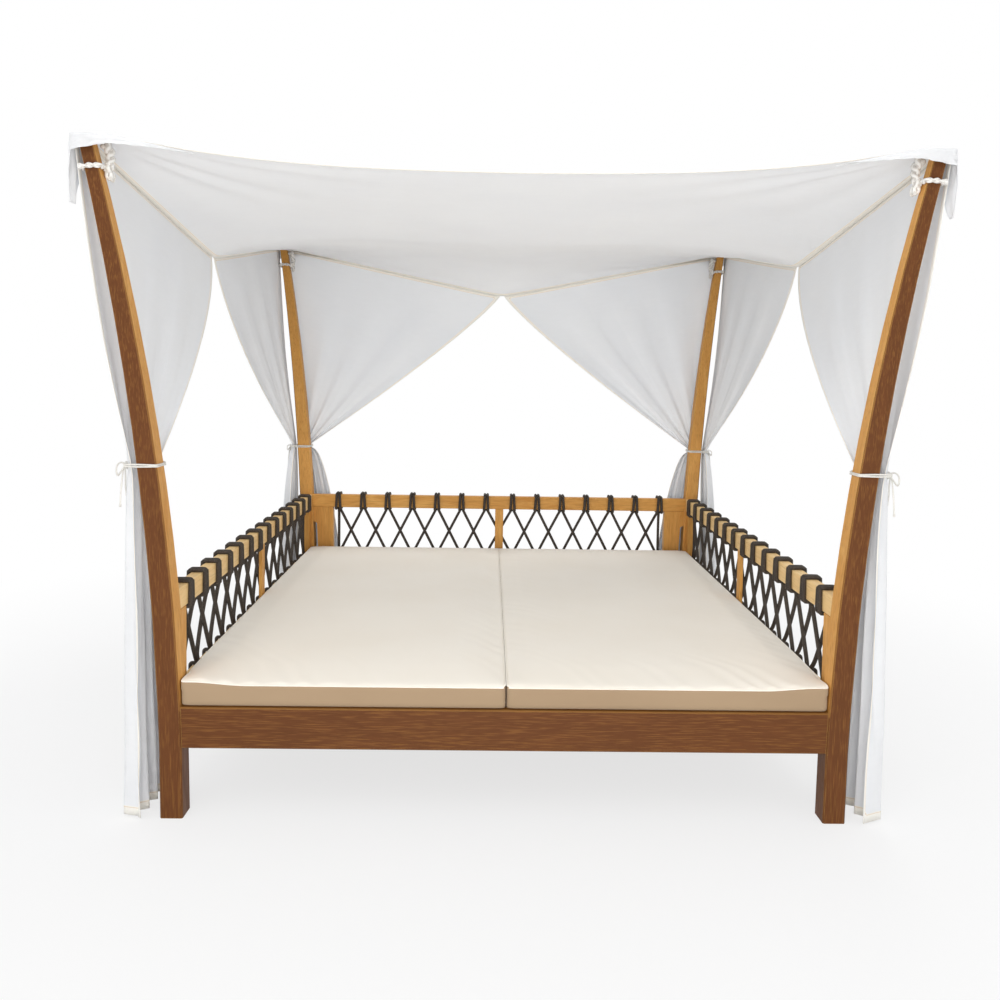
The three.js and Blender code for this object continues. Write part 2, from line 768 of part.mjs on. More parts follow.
// The outline of a post and what is tied to it, anticlockwise, grown by a distance. The cloth stands off its
// outer faces by bundleX and bundleY, and off its inner face by bundleInner where it turns round behind it.
function tiedOutline(z, grow, { bundleX, bundleY, bundleInner }) {
  const lowX = postInnerX(z) - grow;
  const lowY = postInnerY(z) - grow;
  const highX = postOuterX(z) + grow;
  const highY = postOuterY(z) + grow;
  const outline = [[lowX, lowY]];
  const wrapEnd = highX + bundleOffset - wrapReach - clothThickness;
  if (bundleInner > 0) outline.push([wrapEnd, lowY - bundleInner]);
  outline.push([highX + bundleX, lowY - bundleInner]);
  outline.push([highX + bundleX, highY]);
  outline.push([highX, highY + bundleY]);
  outline.push([lowX, highY + bundleY]);
  return outline;
}

// A flat tape loop: the outer outline less the inner one, both following the leaning post.
function tapeLoop(z, width, thickness, bundles) {
  const band = (low, high, grow) => loft([low, high].map((level) => (
    tiedOutline(level, grow, bundles).map(([x, y]) => [x, y, level]))));
  const outer = solid(band(z - width / 2, z + width / 2, clothGap + thickness));
  const inner = solid(band(z - width, z + width, clothGap));
  return outer.subtract(inner);
}

const bundleReach = bundleOffset + bundleDepth / 4 + clothThickness;

function tieGeometry(z, atBack) {
  const bundleY = atBack ? bundleReach : seatGap;
  const bundleInner = atBack ? 0 : bundleReach;
  const loop = tapeLoop(z, tieWidth, tieThickness, { bundleX: bundleReach, bundleY, bundleInner });
  const knotX = postOuterX(z) + bundleReach + clothGap + tieThickness + tieKnot / 4;
  const knotY = (postInnerY(z) + postOuterY(z)) / 2;
  const knot = new THREE.SphereGeometry(tieKnot / 2, 8, 6).translate(knotX, knotY, z);
  const halfThick = tieThickness / 2;
  const halfWide = tieTailWidth / 2;
  let whole = loop.add(solid(knot));
  for (const side of [-1, 1]) {
    const tail = loft([0, 1].map((fall) => {
      const y = knotY + side * tieTailSpread * fall;
      const x = knotX + tieTailWidth * fall;
      const section = chamfered(x - halfThick, x + halfThick, y - halfWide, y + halfWide, tieTailEdge);
      return section.map(([a, b]) => [a, b, z - tieTailLength * fall]);
    }).reverse());
    whole = whole.add(solid(tail));
  }
  return fromSolid(whole);
}

for (const corner of corners) {
  const z = corner.y > 0 ? backTieHeight : frontTieHeight;
  place(`tie_${corner.name}`, tieGeometry(z, corner.y > 0), tape, corner.group);
}

// Corner straps
// A looped strap holds each canopy corner to its post tip, with its knot on the inner side.

function strapGeometry() {
  const z = postHeight - strapDrop;
  const bare = { bundleX: seatGap, bundleY: seatGap, bundleInner: 0 };
  const loop = tapeLoop(z, strapWidth, strapThickness, bare);
  const knotX = postInnerX(z) - strapKnot;
  const knotY = postInnerY(z) - strapKnot;
  const knot = new THREE.SphereGeometry(strapKnot, 10, 8).scale(1, 1, 3 / 2).translate(knotX, knotY, z);
  return fromSolid(loop.add(solid(knot)));
}

for (const corner of corners) {
  place(`corner_strap_${corner.name}`, strapGeometry(), tape, corner.group);
}

export default daybed;
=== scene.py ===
# %% [markdown]
# An outdoor daybed with a cloth canopy.
# Four teak posts lean out as they rise. They hold a bed base, three panels laced with rope, a mattress
# in two halves, and a white canopy with six tied curtains.
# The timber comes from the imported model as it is. The rope, the mattress and all the cloth are made here.

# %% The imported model
import math
import bmesh
import bpy
from mathutils import Matrix, Vector, noise
from mathutils.bvhtree import BVHTree


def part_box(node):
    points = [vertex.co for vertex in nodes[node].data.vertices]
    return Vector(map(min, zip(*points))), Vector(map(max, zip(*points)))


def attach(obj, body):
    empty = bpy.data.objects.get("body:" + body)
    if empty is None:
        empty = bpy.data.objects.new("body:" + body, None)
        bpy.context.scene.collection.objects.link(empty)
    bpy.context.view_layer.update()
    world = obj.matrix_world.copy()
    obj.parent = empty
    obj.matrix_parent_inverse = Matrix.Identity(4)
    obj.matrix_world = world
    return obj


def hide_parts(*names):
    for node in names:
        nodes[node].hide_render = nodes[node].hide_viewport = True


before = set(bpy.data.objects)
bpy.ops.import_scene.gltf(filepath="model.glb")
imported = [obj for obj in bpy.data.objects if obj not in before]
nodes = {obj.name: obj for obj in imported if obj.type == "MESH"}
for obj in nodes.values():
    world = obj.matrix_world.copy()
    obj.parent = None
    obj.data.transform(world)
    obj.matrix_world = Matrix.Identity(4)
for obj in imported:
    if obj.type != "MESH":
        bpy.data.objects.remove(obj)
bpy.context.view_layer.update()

# %% [markdown]
# The camera stands in front of the bed, a little left of its middle, at the eye height of someone
# standing. It looks slightly down. Its place was worked out from where the feet, the rails and the post
# tips lie in the photograph, so the model and the picture line up without any fitting later.

# %% Camera
camera_place = Vector((-0.0682, -3.7004, 1.4052))
QUARTER = math.radians(90)
# To the right, down, and a slight tilt.
camera_turns = ((-0.0136, "Z"), (QUARTER - 0.0535, "X"), (0.0152, "Z"))
bpy.ops.object.camera_add(location=camera_place)
camera = bpy.context.object
camera.name = "camera"
camera.matrix_world = Matrix.Translation(camera_place)
for angle, axis in camera_turns:
    camera.matrix_world = camera.matrix_world @ Matrix.Rotation(angle, 4, axis)
camera.data.lens = 31.36
camera.data.sensor_width = 36
camera.data.shift_y = -0.085
camera.data.clip_end = 60
bpy.context.scene.camera = camera
print("camera at", tuple(round(c, 3) for c in camera.location))

# %% [markdown]
# The bed stands on a pale floor in even light, as in a studio. One large lamp hangs above and in front, one
# fills from the front, one lights from behind, and a low one lights the canopy from below. A plain sky gives
# the rest. Where the camera looks past the bed it sees white, which comes from the Light Path node and not
# from more light on the bed. Small helpers keep the node trees short: an input that is given another node or
# a socket is wired to it.

# %% Helpers for nodes
def node(tree, kind, inputs=None, **settings):
    """A shader node with its settings, whose inputs are set to values or wired to nodes and sockets."""
    made = tree.nodes.new("ShaderNode" + kind)
    for key, value in settings.items():
        setattr(made, key, value)
    for key, value in (inputs or {}).items():
        if isinstance(value, bpy.types.Node):
            value = value.outputs[0]
        if isinstance(value, bpy.types.NodeSocket):
            tree.links.new(value, made.inputs[key])
        else:
            made.inputs[key].default_value = value
    return made


def calc(tree, operation, *values):
    """A Math node on numbers, nodes and sockets."""
    return node(tree, "Math", dict(enumerate(values)), operation=operation)


def wire(tree, *pairs):
    for source, target in pairs:
        tree.links.new(source.outputs[0] if isinstance(source, bpy.types.Node) else source, target)


def seen_directly(tree):
    """1 where a ray from the camera, a reflection or clear glass arrives, and 0 for light on things."""
    ray = node(tree, "LightPath").outputs
    first = calc(tree, "MAXIMUM", ray["Is Camera Ray"], ray["Is Glossy Ray"])
    return calc(tree, "MAXIMUM", first, ray["Is Transmission Ray"])


print("node helpers ready")

# %% [markdown]
# The lamps share one colour. Each has its place, what it points at, its size and its power. The floor fades
# to white further out, so it has no edge in the picture.

# %% Floor, sky and lamps
SKY_COLOUR, SKY_STRENGTH = (0.97, 0.985, 1.0, 1), 0.82
LAMP_COLOUR = (1, 0.98, 0.95)
LAMPS = {  # place, target, size in metres and watts
    "lamp_above": ((-1.5, -4.2, 4.6), (0, 0, 0.6), 3.5, 52),
    "lamp_front": ((0.3, -4.8, 1.5), (0, 0, 1.1), 3.0, 25),
    "lamp_behind": ((1.8, 3.6, 5.2), (0, 0, 0.9), 3.0, 75),
    "lamp_low": ((0, -3.4, 0.35), (0, 0.5, 1.9), 2.6, 34),
}
FLOOR_SIZE, FLOOR_COLOUR = 40, (0.8, 0.8, 0.8, 1)
FLOOR_FADES, FLOOR_WHITE = (1.6, 3.6), 0.72

scene = bpy.context.scene
scene.view_settings.view_transform = "Standard"
sky = bpy.data.worlds.new("sky")
sky.use_nodes = True
scene.world = sky
sky_tree = sky.node_tree
sky_tree.nodes.clear()
sky_light = node(sky_tree, "Background", {"Color": SKY_COLOUR, "Strength": SKY_STRENGTH})
sky_white = node(sky_tree, "Background", {"Color": (1, 1, 1, 1)})
sky_mix = node(sky_tree, "MixShader", {0: seen_directly(sky_tree), 1: sky_light, 2: sky_white})
node(sky_tree, "OutputWorld", {"Surface": sky_mix})

for name, (place, target, size, watts) in LAMPS.items():
    bpy.ops.object.light_add(type="AREA", location=place)
    light = bpy.context.object
    light.name = name
    light.rotation_euler = (Vector(target) - Vector(place)).to_track_quat("-Z", "Y").to_euler()
    light.data.shape = "DISK"
    light.data.size = size
    light.data.energy = watts
    light.data.color = LAMP_COLOUR

bpy.ops.mesh.primitive_plane_add(size=FLOOR_SIZE, location=(0, 0, 0))
floor = bpy.context.object
floor.name = "floor"
floor_paint = bpy.data.materials.new("pale_floor")
floor_paint.use_nodes = True
paint_tree = floor_paint.node_tree
paint_tree.nodes.clear()
paint = node(paint_tree, "BsdfPrincipled", {
    "Base Color": FLOOR_COLOUR, "Roughness": 0.9, "Specular IOR Level": 0.1,
})
glow = node(paint_tree, "Emission", {"Strength": 1.0})
floor_place = node(paint_tree, "TexCoord").outputs["Object"]
far_off = node(paint_tree, "VectorMath", {0: floor_place}, operation="LENGTH").outputs["Value"]
whiter = node(paint_tree, "MapRange", {
    "Value": far_off, "From Min": FLOOR_FADES[0], "From Max": FLOOR_FADES[1], "To Min": FLOOR_WHITE,
}, interpolation_type="SMOOTHSTEP")
white_share = calc(paint_tree, "MULTIPLY", seen_directly(paint_tree), whiter)
paint_mix = node(paint_tree, "MixShader", {0: white_share, 1: paint, 2: glow})
node(paint_tree, "OutputMaterial", {"Surface": paint_mix})
floor.data.materials.append(floor_paint)
print(len(LAMPS), "lamps, a sky and a floor")

# %% [markdown]
# Materials share a few effects. Each effect is a node group with named inputs and outputs, made once and
# set with its own values wherever it is used. The helpers make a group with its sockets, a grey ramp, a
# colour mix, and the last wires that every material needs.

# %% Helpers for node groups and colours
FLOAT, VECTOR = "NodeSocketFloat", "NodeSocketVector"


def group(name, inputs, outputs):
    """A node group with its own inputs' sockets and its outputs' sockets."""
    made = bpy.data.node_groups.new(name, "ShaderNodeTree")
    for label, kind, default in inputs:
        socket = made.interface.new_socket(label, in_out="INPUT", socket_type=kind)
        if default is not None:
            socket.default_value = default
    for label in outputs:
        made.interface.new_socket(label, in_out="OUTPUT", socket_type=FLOAT)
    return made, made.nodes.new("NodeGroupInput").outputs, made.nodes.new("NodeGroupOutput").inputs


def ramp(tree, stops, factor):
    """A grey ramp with the given places and values, driven by a node or a socket."""
    made = node(tree, "ValToRGB", {"Fac": factor})
    points = made.color_ramp.elements
    while len(points) < len(stops):
        points.new(0.5)
    for point, (place, value) in zip(points, stops):
        point.position = place
        point.color = (value, value, value, 1)
    return made


def mixed(tree, factor, low, high):
    """A colour mix whose ends may be nodes or plain colours. Its factor may be a mask with a strength."""
    if isinstance(factor, tuple):
        factor = calc(tree, "MULTIPLY", *factor)
    low, high = ((*end, 1) if isinstance(end, tuple) else end for end in (low, high))
    return node(tree, "MixRGB", {"Fac": factor, "Color1": low, "Color2": high})


def times(colour, factor):
    """A colour made lighter or darker."""
    return tuple(min(1, part * factor) for part in colour)


def painted(name):
    """A new material, its tree and its shader's inputs."""
    made = bpy.data.materials.new(name)
    made.use_nodes = True
    return made, made.node_tree, made.node_tree.nodes["Principled BSDF"].inputs


def finish(tree, skin, colour, rough_by, roughness, height, strength, depth):
    """Gives a shader its colour, a roughness that follows a pattern, and a shallow relief."""
    rough = node(tree, "MapRange", {"Value": rough_by, "To Min": roughness[0], "To Max": roughness[1]})
    relief = node(tree, "Bump", {"Height": height, "Strength": strength, "Distance": depth})
    wire(tree, (colour, skin["Base Color"]), (rough, skin["Roughness"]), (relief, skin["Normal"]))


def srgb(red, green, blue):
    """The linear value of a colour written in 0 to 255, as it looks on a screen."""
    def linear(value):
        value /= 255
        return value / 12.92 if value <= 0.04045 else ((value + 0.055) / 1.055) ** 2.4
    return linear(red), linear(green), linear(blue)


print("helpers ready")

# %% [markdown]
# Teak is straight grained with darker growth lines that bend slowly along the board, and fine short pores.
# Faces that look outwards, and all wood below the mattress, are painted a deeper brown: painted shade. The
# grain is a noise that is stretched along the board, so it must know which way the board runs: each material
# turns the pattern with a Mapping node. Wear lightens the edges, found by comparing a rounded normal with the
# true one.

# %% Effects for wood: grain, edge wear and painted shade on the outer faces and low down
# The heights between which the wood below the mattress turns to painted shade.
SHADE_BELOW_HEIGHTS = (0.375, 0.335)

grain, grain_in, grain_out = group(
    "long_grain", [("Vector", VECTOR, None), ("Line Spacing", FLOAT, 26.0)],
    ["Figure", "Pores", "Patches", "Height"],
)
slow = node(grain, "Mapping", {"Vector": grain_in["Vector"], "Scale": (0.55, 1, 1)})
drift = node(grain, "TexNoise", {"Vector": slow, "Scale": 3.2, "Detail": 2})
bent = node(grain, "MixRGB", {
    "Fac": 0.22, "Color1": grain_in["Vector"], "Color2": drift.outputs["Color"],
}, blend_type="ADD")
stretch = node(grain, "Mapping", {"Vector": bent, "Scale": (0.05, 1, 1)})
lines = node(grain, "TexNoise", {
    "Vector": stretch, "Scale": grain_in["Line Spacing"], "Detail": 3, "Roughness": 0.6,
})
long_pores = node(grain, "Mapping", {"Vector": grain_in["Vector"], "Scale": (14, 420, 420)})
pores = node(grain, "TexNoise", {"Vector": long_pores, "Scale": 1.0, "Detail": 2})
pore_mask = ramp(grain, [(0.36, 1.0), (0.47, 0.0)], pores)
patches = node(grain, "TexNoise", {"Vector": slow, "Scale": 2.1, "Detail": 3})
figure = ramp(grain, [(0.3, 0.0), (0.5, 0.55), (0.58, 0.35), (0.75, 1.0)], lines)
wire(
    grain, (figure, grain_out["Figure"]), (pore_mask, grain_out["Pores"]), (patches, grain_out["Patches"]),
    (calc(grain, "SUBTRACT", lines, pore_mask), grain_out["Height"]),
)

wear, wear_in, wear_out = group("edge_wear", [("Amount", FLOAT, 0.6)], ["Mask"])
rounded = node(wear, "Bevel", {"Radius": 0.004}, samples=4)
true_face = node(wear, "NewGeometry").outputs["True Normal"]
turning = node(wear, "VectorMath", {0: rounded, 1: true_face}, operation="DOT_PRODUCT")
edge_only = ramp(wear, [(0.72, 1.0), (0.97, 0.0)], turning.outputs["Value"])
broken = node(wear, "TexNoise", {"Vector": node(wear, "TexCoord").outputs["Object"], "Scale": 38})
worn = calc(wear, "MULTIPLY", edge_only, broken)
wire(wear, (calc(wear, "MULTIPLY", worn, wear_in["Amount"]), wear_out["Mask"]))

# Painted shade: a mask that is 1 on faces near the outside that look outwards, and on all wood below the
# mattress.
shade_side, shade_side_in, shade_side_out = group("painted_shade_side", [("Reach", FLOAT, 0.95)], ["Mask"])
facing = node(shade_side, "SeparateXYZ", {0: node(shade_side, "NewGeometry").outputs["Normal"]}).outputs
here = node(shade_side, "SeparateXYZ", {0: node(shade_side, "TexCoord").outputs["Object"]}).outputs


def outward_along(axis):
    """How much a face that lies near the outside looks out along one axis."""
    near_edge = calc(shade_side, "GREATER_THAN", calc(shade_side, "ABSOLUTE", here[axis]), shade_side_in["Reach"])
    outwards = calc(shade_side, "MULTIPLY", facing[axis], calc(shade_side, "SIGN", here[axis]))
    return calc(shade_side, "MULTIPLY", outwards, near_edge)


larger = calc(shade_side, "MAXIMUM", outward_along("X"), outward_along("Y"))
soft_step = ramp(shade_side, [(0.35, 0.0), (0.8, 1.0)], larger)
shade_below = node(shade_side, "MapRange", {"Value": here["Z"], "From Min": SHADE_BELOW_HEIGHTS[0], "From Max": SHADE_BELOW_HEIGHTS[1]})
wire(shade_side, (calc(shade_side, "MAXIMUM", soft_step, shade_below), shade_side_out["Mask"]))
print("three effects for wood")

# %% [markdown]
# One function makes the teak of a board from the way its grain runs and three colours: the pale wood, the
# darker line, and a deep brown that is painted shade on the outer faces and below the mattress. The bands of
# light and dark are mixed with the colour, and the pores and lines also make a shallow relief.

# %% Teak
GRAIN_TURN = {"x": (0, 0, 0), "y": (0, 0, -QUARTER), "z": (0, QUARTER, 0)}


def teak(name, axis, pale, line, shade_colour):
    made, tree, skin = painted(name)
    skin["Specular IOR Level"].default_value = 0.22
    place = node(tree, "TexCoord").outputs["Object"]
    along_board = node(tree, "Mapping", {0: place, "Rotation": GRAIN_TURN[axis]})
    pattern = node(tree, "Group", {"Vector": along_board}, node_tree=grain).outputs
    shade_mask = node(tree, "Group", node_tree=shade_side)
    edges = node(tree, "Group", {"Amount": 0.5}, node_tree=wear)
    inner = mixed(tree, pattern["Figure"], pale, line)
    inner = mixed(tree, (pattern["Patches"], 0.55), inner, times(line, 0.72))
    # The deep brown is painted shade on the outer faces and on the wood below the mattress.
    deep = mixed(tree, pattern["Figure"], shade_colour, times(shade_colour, 0.62))
    deep = mixed(tree, (pattern["Patches"], 0.5), deep, times(shade_colour, 1.25))
    wood = mixed(tree, shade_mask, inner, deep)
    wood = mixed(tree, edges, wood, times(pale, 1.35))
    wood = mixed(tree, (pattern["Pores"], 0.35), wood, times(line, 0.5))
    finish(tree, skin, wood, pattern["Figure"], (0.42, 0.62), pattern["Height"], 0.25, 0.0006)
    return made


# The deep brown is painted shade for the outer faces and the low parts.
golden, golden_line, shaded_brown = srgb(240, 186, 104), srgb(206, 140, 66), srgb(100, 57, 23)
# honey is the lighter teak of the side rails: painted light.
honey, honey_line = srgb(255, 222, 164), srgb(241, 198, 134)
teaks = {axis: teak(f"teak_{axis}", axis, golden, golden_line, shaded_brown) for axis in "xyz"}
lit_teaks = {"y": teak("teak_painted_light_y", "y", honey, honey_line, shaded_brown)}
print("teak in", len(teaks) + len(lit_teaks), "cuts")

# %% [markdown]
# Every board of the imported model keeps its shape and gets its teak. The grain follows the longest side of
# its box. The side rails catch more light on the real bed, so their teak is painted lighter: painted light.

# %% Teak on the boards
SIDE_PANELS = ("panel_left", "panel_right")
SOFT_WORDS = ("mattress", "canopy", "curtain", "tie_", "strap", "lacing")
boards = [name for name in nodes if not any(word in name for word in SOFT_WORDS)]
for name in boards:
    low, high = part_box(name)
    size = high - low
    axis = "xyz"[max(range(3), key=lambda k: size[k])]
    # Painted light: boards of the side panels that run along Y take the lighter teak.
    painted_lighter = any(panel in name for panel in SIDE_PANELS) and axis in lit_teaks
    nodes[name].data.materials.clear()
    nodes[name].data.materials.append((lit_teaks if painted_lighter else teaks)[axis])
print(len(boards), "boards dressed in teak")

# %% [markdown]
# The three panels are laced with one round braided rope each. On the top rail the rope takes two turns side
# by side, which lean apart lower down. Under the rail it leaves as two strands that cross the neighbours'
# strands half way down, and on the bottom rail it takes one turn. A rope is best made as a tube swept along
# a smooth path, because the braid can then follow the path: the tube's own map holds the length along the
# rope and the distance round it, both in metres.

# %% Helpers for ropes and cords
def smooth_path(points, steps, closed=False):
    """More points on a smooth curve that runs through the given ones."""
    count = len(points)
    made = []
    for i in range(count if closed else count - 1):
        if closed:
            a, b, c, d = (points[(i + k) % count] for k in (-1, 0, 1, 2))
        else:
            a, b, c, d = (points[min(max(i + k, 0), count - 1)] for k in (-1, 0, 1, 2))
        for step in range(steps):
            t = step / steps
            made.append(0.5 * (
                2 * b + (c - a) * t + (2 * a - 5 * b + 4 * c - d) * t ** 2 + (3 * b - a - 3 * c + d) * t ** 3
            ))
    return made if closed else [*made, points[-1]]


def run_lengths(path):
    """How far along a path each of its points lies."""
    lengths = [0.0]
    for here, there in zip(path, path[1:]):
        lengths.append(lengths[-1] + (there - here).length)
    return lengths


def frames(path, closed, towards=None):
    """At each point of a path, the way it runs and a side that turns as little as it can."""
    count, side = len(path), None
    for i in range(count):
        after, before = path[(i + 1) % count], path[i - 1]
        if not closed:
            after, before = path[min(i + 1, count - 1)], path[max(i - 1, 0)]
        along = (after - before).normalized()
        if side is None:
            side = (along.orthogonal() if towards is None else along.cross(towards)).normalized()
        side = (side - along * side.dot(along)).normalized()
        yield along, side


def sweep(shape, path, radius, steps=1, sides=10, closed=False, flat=1.0):
    """Adds a tube along a path to a bmesh, with its map in metres. radius may be a function of the share."""
    if steps > 1:
        path = smooth_path(path, steps, closed)
    layer = shape.loops.layers.uv.verify()
    count, lengths, rings = len(path), run_lengths(path), []
    for i, (along, side) in enumerate(frames(path, closed)):
        over = along.cross(side)
        size = radius(i / (count - 1)) if callable(radius) else radius
        ring = []
        for k in range(sides):
            turn = 2 * math.pi * k / sides
            outwards = side * math.cos(turn) + over * math.sin(turn) * flat
            ring.append(shape.verts.new(path[i] + outwards * size))
        rings.append(ring)
    round_size = 2 * math.pi * (radius(0.5) if callable(radius) else radius)
    for i in range(count if closed else count - 1):
        near, far = rings[i], rings[(i + 1) % count]
        end = lengths[i + 1] if i + 1 < count else lengths[-1] + (path[0] - path[-1]).length
        shift = 0
        if closed and i == count - 1:
            shift = min(range(sides), key=lambda k: (far[k].co - near[0].co).length)
        for k in range(sides):
            m = (k + 1) % sides
            face = shape.faces.new((near[k], near[m], far[(m + shift) % sides], far[(k + shift) % sides]))
            face.smooth = True
            places = ((lengths[i], k), (lengths[i], k + 1), (end, k + 1), (end, k))
            for loop, (u, v) in zip(face.loops, places):
                loop[layer].uv = (u, v / sides * round_size)
    if not closed:
        for ring, point, back in ((rings[0], path[0], path[1]), (rings[-1], path[-1], path[-2])):
            size = (ring[0].co - point).length
            tip = shape.verts.new(point + (point - back).normalized() * size * 0.6)
            for k in range(sides):
                ends = (ring[k], ring[(k + 1) % sides])
                face = shape.faces.new((*(ends if ring is rings[-1] else reversed(ends)), tip))
                face.smooth = True


def finished(shape, name, material):
    """Turns a bmesh into a piece at the origin with one material."""
    bmesh.ops.recalc_face_normals(shape, faces=shape.faces)
    mesh = bpy.data.meshes.new(name)
    shape.to_mesh(mesh)
    shape.free()
    piece = bpy.data.objects.new(name, mesh)
    scene.collection.objects.link(piece)
    mesh.materials.append(material)
    return piece


print("rope helpers ready")

# %% [markdown]
# The rope is a tight plait of dark yarn. Two families of diagonal ribs cross round the tube, and here and
# there a yarn is a little paler from the sun. The hollows between the ribs are painted darker, as painted
# shade. The plait is a node group, because the ties use it as well.

# %% Plait and rope finish
def wave(tree, place, per_metre):
    """A wave that turns by half a circle this many times in each metre."""
    return calc(tree, "SINE", calc(tree, "MULTIPLY", place, calc(tree, "MULTIPLY", per_metre, math.pi)))


plait, plait_in, plait_out = group(
    "plait", [("Vector", VECTOR, None), ("Ribs per metre", FLOAT, 210.0)], ["Height", "Shade in Hollows"],
)
across_rope = node(plait, "SeparateXYZ", {0: plait_in["Vector"]}).outputs
ribs = []
for direction in ("ADD", "SUBTRACT"):
    diagonal = calc(plait, direction, across_rope["X"], across_rope["Y"])
    ribs.append(wave(plait, diagonal, plait_in["Ribs per metre"]))
crossing = calc(plait, "MAXIMUM", *ribs)
# Painted shade in the hollows between the ribs.
shade_in_hollows = ramp(plait, [(0.0, 1.0), (0.45, 0.0)], crossing)
wire(plait, (crossing, plait_out["Height"]), (shade_in_hollows, plait_out["Shade in Hollows"]))


def plaited(name, yarn, faded, hollow_shade, ribs_per_metre, relief_depth):
    made, tree, skin = painted(name)
    places = node(tree, "TexCoord").outputs
    pattern = node(tree, "Group", {
        "Vector": places["UV"], "Ribs per metre": ribs_per_metre,
    }, node_tree=plait).outputs
    flecks = node(tree, "TexNoise", {"Vector": places["Object"], "Scale": 160})
    colour = mixed(tree, ramp(tree, [(0.55, 0.0), (0.75, 0.6)], flecks), yarn, faded)
    colour = mixed(tree, (pattern["Shade in Hollows"], 0.7), colour, hollow_shade)
    finish(tree, skin, colour, flecks, (0.72, 0.92), pattern["Height"], 0.8, relief_depth)
    return made


# The third colour is the painted shade in the plait's hollows.
rope_finish = plaited("braided_rope", srgb(72, 63, 55), srgb(118, 106, 92), srgb(34, 29, 26), 230, 0.0011)
print("rope finish ready")

# %% [markdown]
# One panel's lacing is laid out along X for the back of the bed and then turned for the sides. The strands
# that lean one way lie in front, and the ones that lean the other way behind, as laced rope does.

# %% Rope lacing
ROPE, LOW_ROPE = 0.0073, 0.0065
RAIL_EDGE = 0.002
TURN_APART, TURN_LEANS_IN, STRAND_APART = 0.0112, 0.0038, 0.0045
STRAND_BENDS = ((0, 0), (0.05, 0.35), (0.16, 0.85), (0.5, 1), (0.84, 0.85), (0.95, 0.35), (1, 0))
PANEL_IN, PANEL_OUT = 1.020, 1.060
TOP_RAIL = (0.637, 0.705)
BOTTOM_RAIL = (0.3636, 0.3856)
FIRST_WRAP = 0.072
WRAPS = 7
FRONT_PLANE, BEHIND_PLANE = 1.0420, 1.0535


def round_rail(x_at, rail, thick):
    """A closed path round a rail, just off its faces. x_at gives the place along the rail at each height."""
    reach = thick + RAIL_EDGE
    near, far = PANEL_IN + RAIL_EDGE, PANEL_OUT - RAIL_EDGE
    low, high = rail[0] + RAIL_EDGE, rail[1] - RAIL_EDGE
    path = []
    for y, z, start in ((near, high, 90), (near, low, 180), (far, low, 270), (far, high, 0)):
        for k in range(4):
            turn = math.radians(start + 30 * k)
            height = z + math.sin(turn) * reach
            path.append(Vector((x_at(height), y + math.cos(turn) * reach, height)))
    return path


def lacing(name, last_wrap, turned_by):
    shape = bmesh.new()
    wraps = []
    for i in range(WRAPS):
        x = FIRST_WRAP + (last_wrap - FIRST_WRAP) * i / (WRAPS - 1)
        wraps = [-x, *wraps, x]
    low, high = TOP_RAIL
    for x in wraps:
        for side in (-1, 1):
            def lean(z):
                share = min(max((z - low) / (high - low), 0), 1)
                return x + side * (TURN_APART - TURN_LEANS_IN * share ** 0.7)
            sweep(shape, round_rail(lean, TOP_RAIL, ROPE), ROPE, 2, closed=True)
        sweep(shape, round_rail(lambda z: x, BOTTOM_RAIL, LOW_ROPE), LOW_ROPE, 2, closed=True)
    top_z, bottom_z = low - ROPE * 0.6, BOTTOM_RAIL[1] + ROPE * 0.4
    middle_y = (PANEL_IN + PANEL_OUT) / 2

    def strand(x_top, x_bottom, plane):
        lean = 0 if x_top == x_bottom else math.copysign(STRAND_APART, x_bottom - x_top)
        drop = top_z - bottom_z
        route = []
        for share, depth in STRAND_BENDS:
            x = x_top + lean + (x_bottom - x_top - 2 * lean) * share
            route.append(Vector((x, middle_y + (plane - middle_y) * depth, top_z - drop * share)))
        sweep(shape, route, ROPE, 4)

    for near, far in zip(wraps, wraps[1:]):
        strand(near, far, FRONT_PLANE)
        strand(far, near, BEHIND_PLANE)
    for x in (wraps[0], wraps[-1]):
        strand(x, x, (FRONT_PLANE + BEHIND_PLANE) / 2)
    bmesh.ops.rotate(shape, verts=shape.verts, matrix=Matrix.Rotation(math.radians(turned_by), 3, "Z"))
    piece = finished(shape, name, rope_finish)
    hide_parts(name.replace("rope_", "lacing_"))
    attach(piece, "root")
    print(name, "has", len(wraps), "wraps and", len(piece.data.polygons), "faces")


lacing("rope_back", 0.8763, 0)
lacing("rope_left", 0.9233, 90)
lacing("rope_right", 0.9233, -90)

# %% [markdown]
# The canopy and the curtains are white sailcloth: a plain weave, faintly uneven, with a sewn hem that shows
# as a warmer band with a line of stitches. The band is also painted lighter than the cloth, as painted light
# for the light that shines through it. The distance to the nearest hem is stored in each mesh as an
# attribute, in metres, so the band keeps its width wherever the cloth bends.

# %% Weave and sailcloth
weave, weave_in, weave_out = group(
    "plain_weave", [("Vector", VECTOR, None), ("Threads per metre", FLOAT, 700.0)], ["Height", "Slubs"],
)
across_cloth = node(weave, "SeparateXYZ", {0: weave_in["Vector"]}).outputs
threads = [wave(weave, across_cloth[axis], weave_in["Threads per metre"]) for axis in "XY"]
slub_place = node(weave, "Mapping", {"Vector": weave_in["Vector"], "Scale": (9, 60, 9)})
slubs = node(weave, "TexNoise", {"Vector": slub_place, "Scale": 1.0, "Detail": 3})
wire(weave, (calc(weave, "MULTIPLY", *threads), weave_out["Height"]), (slubs, weave_out["Slubs"]))


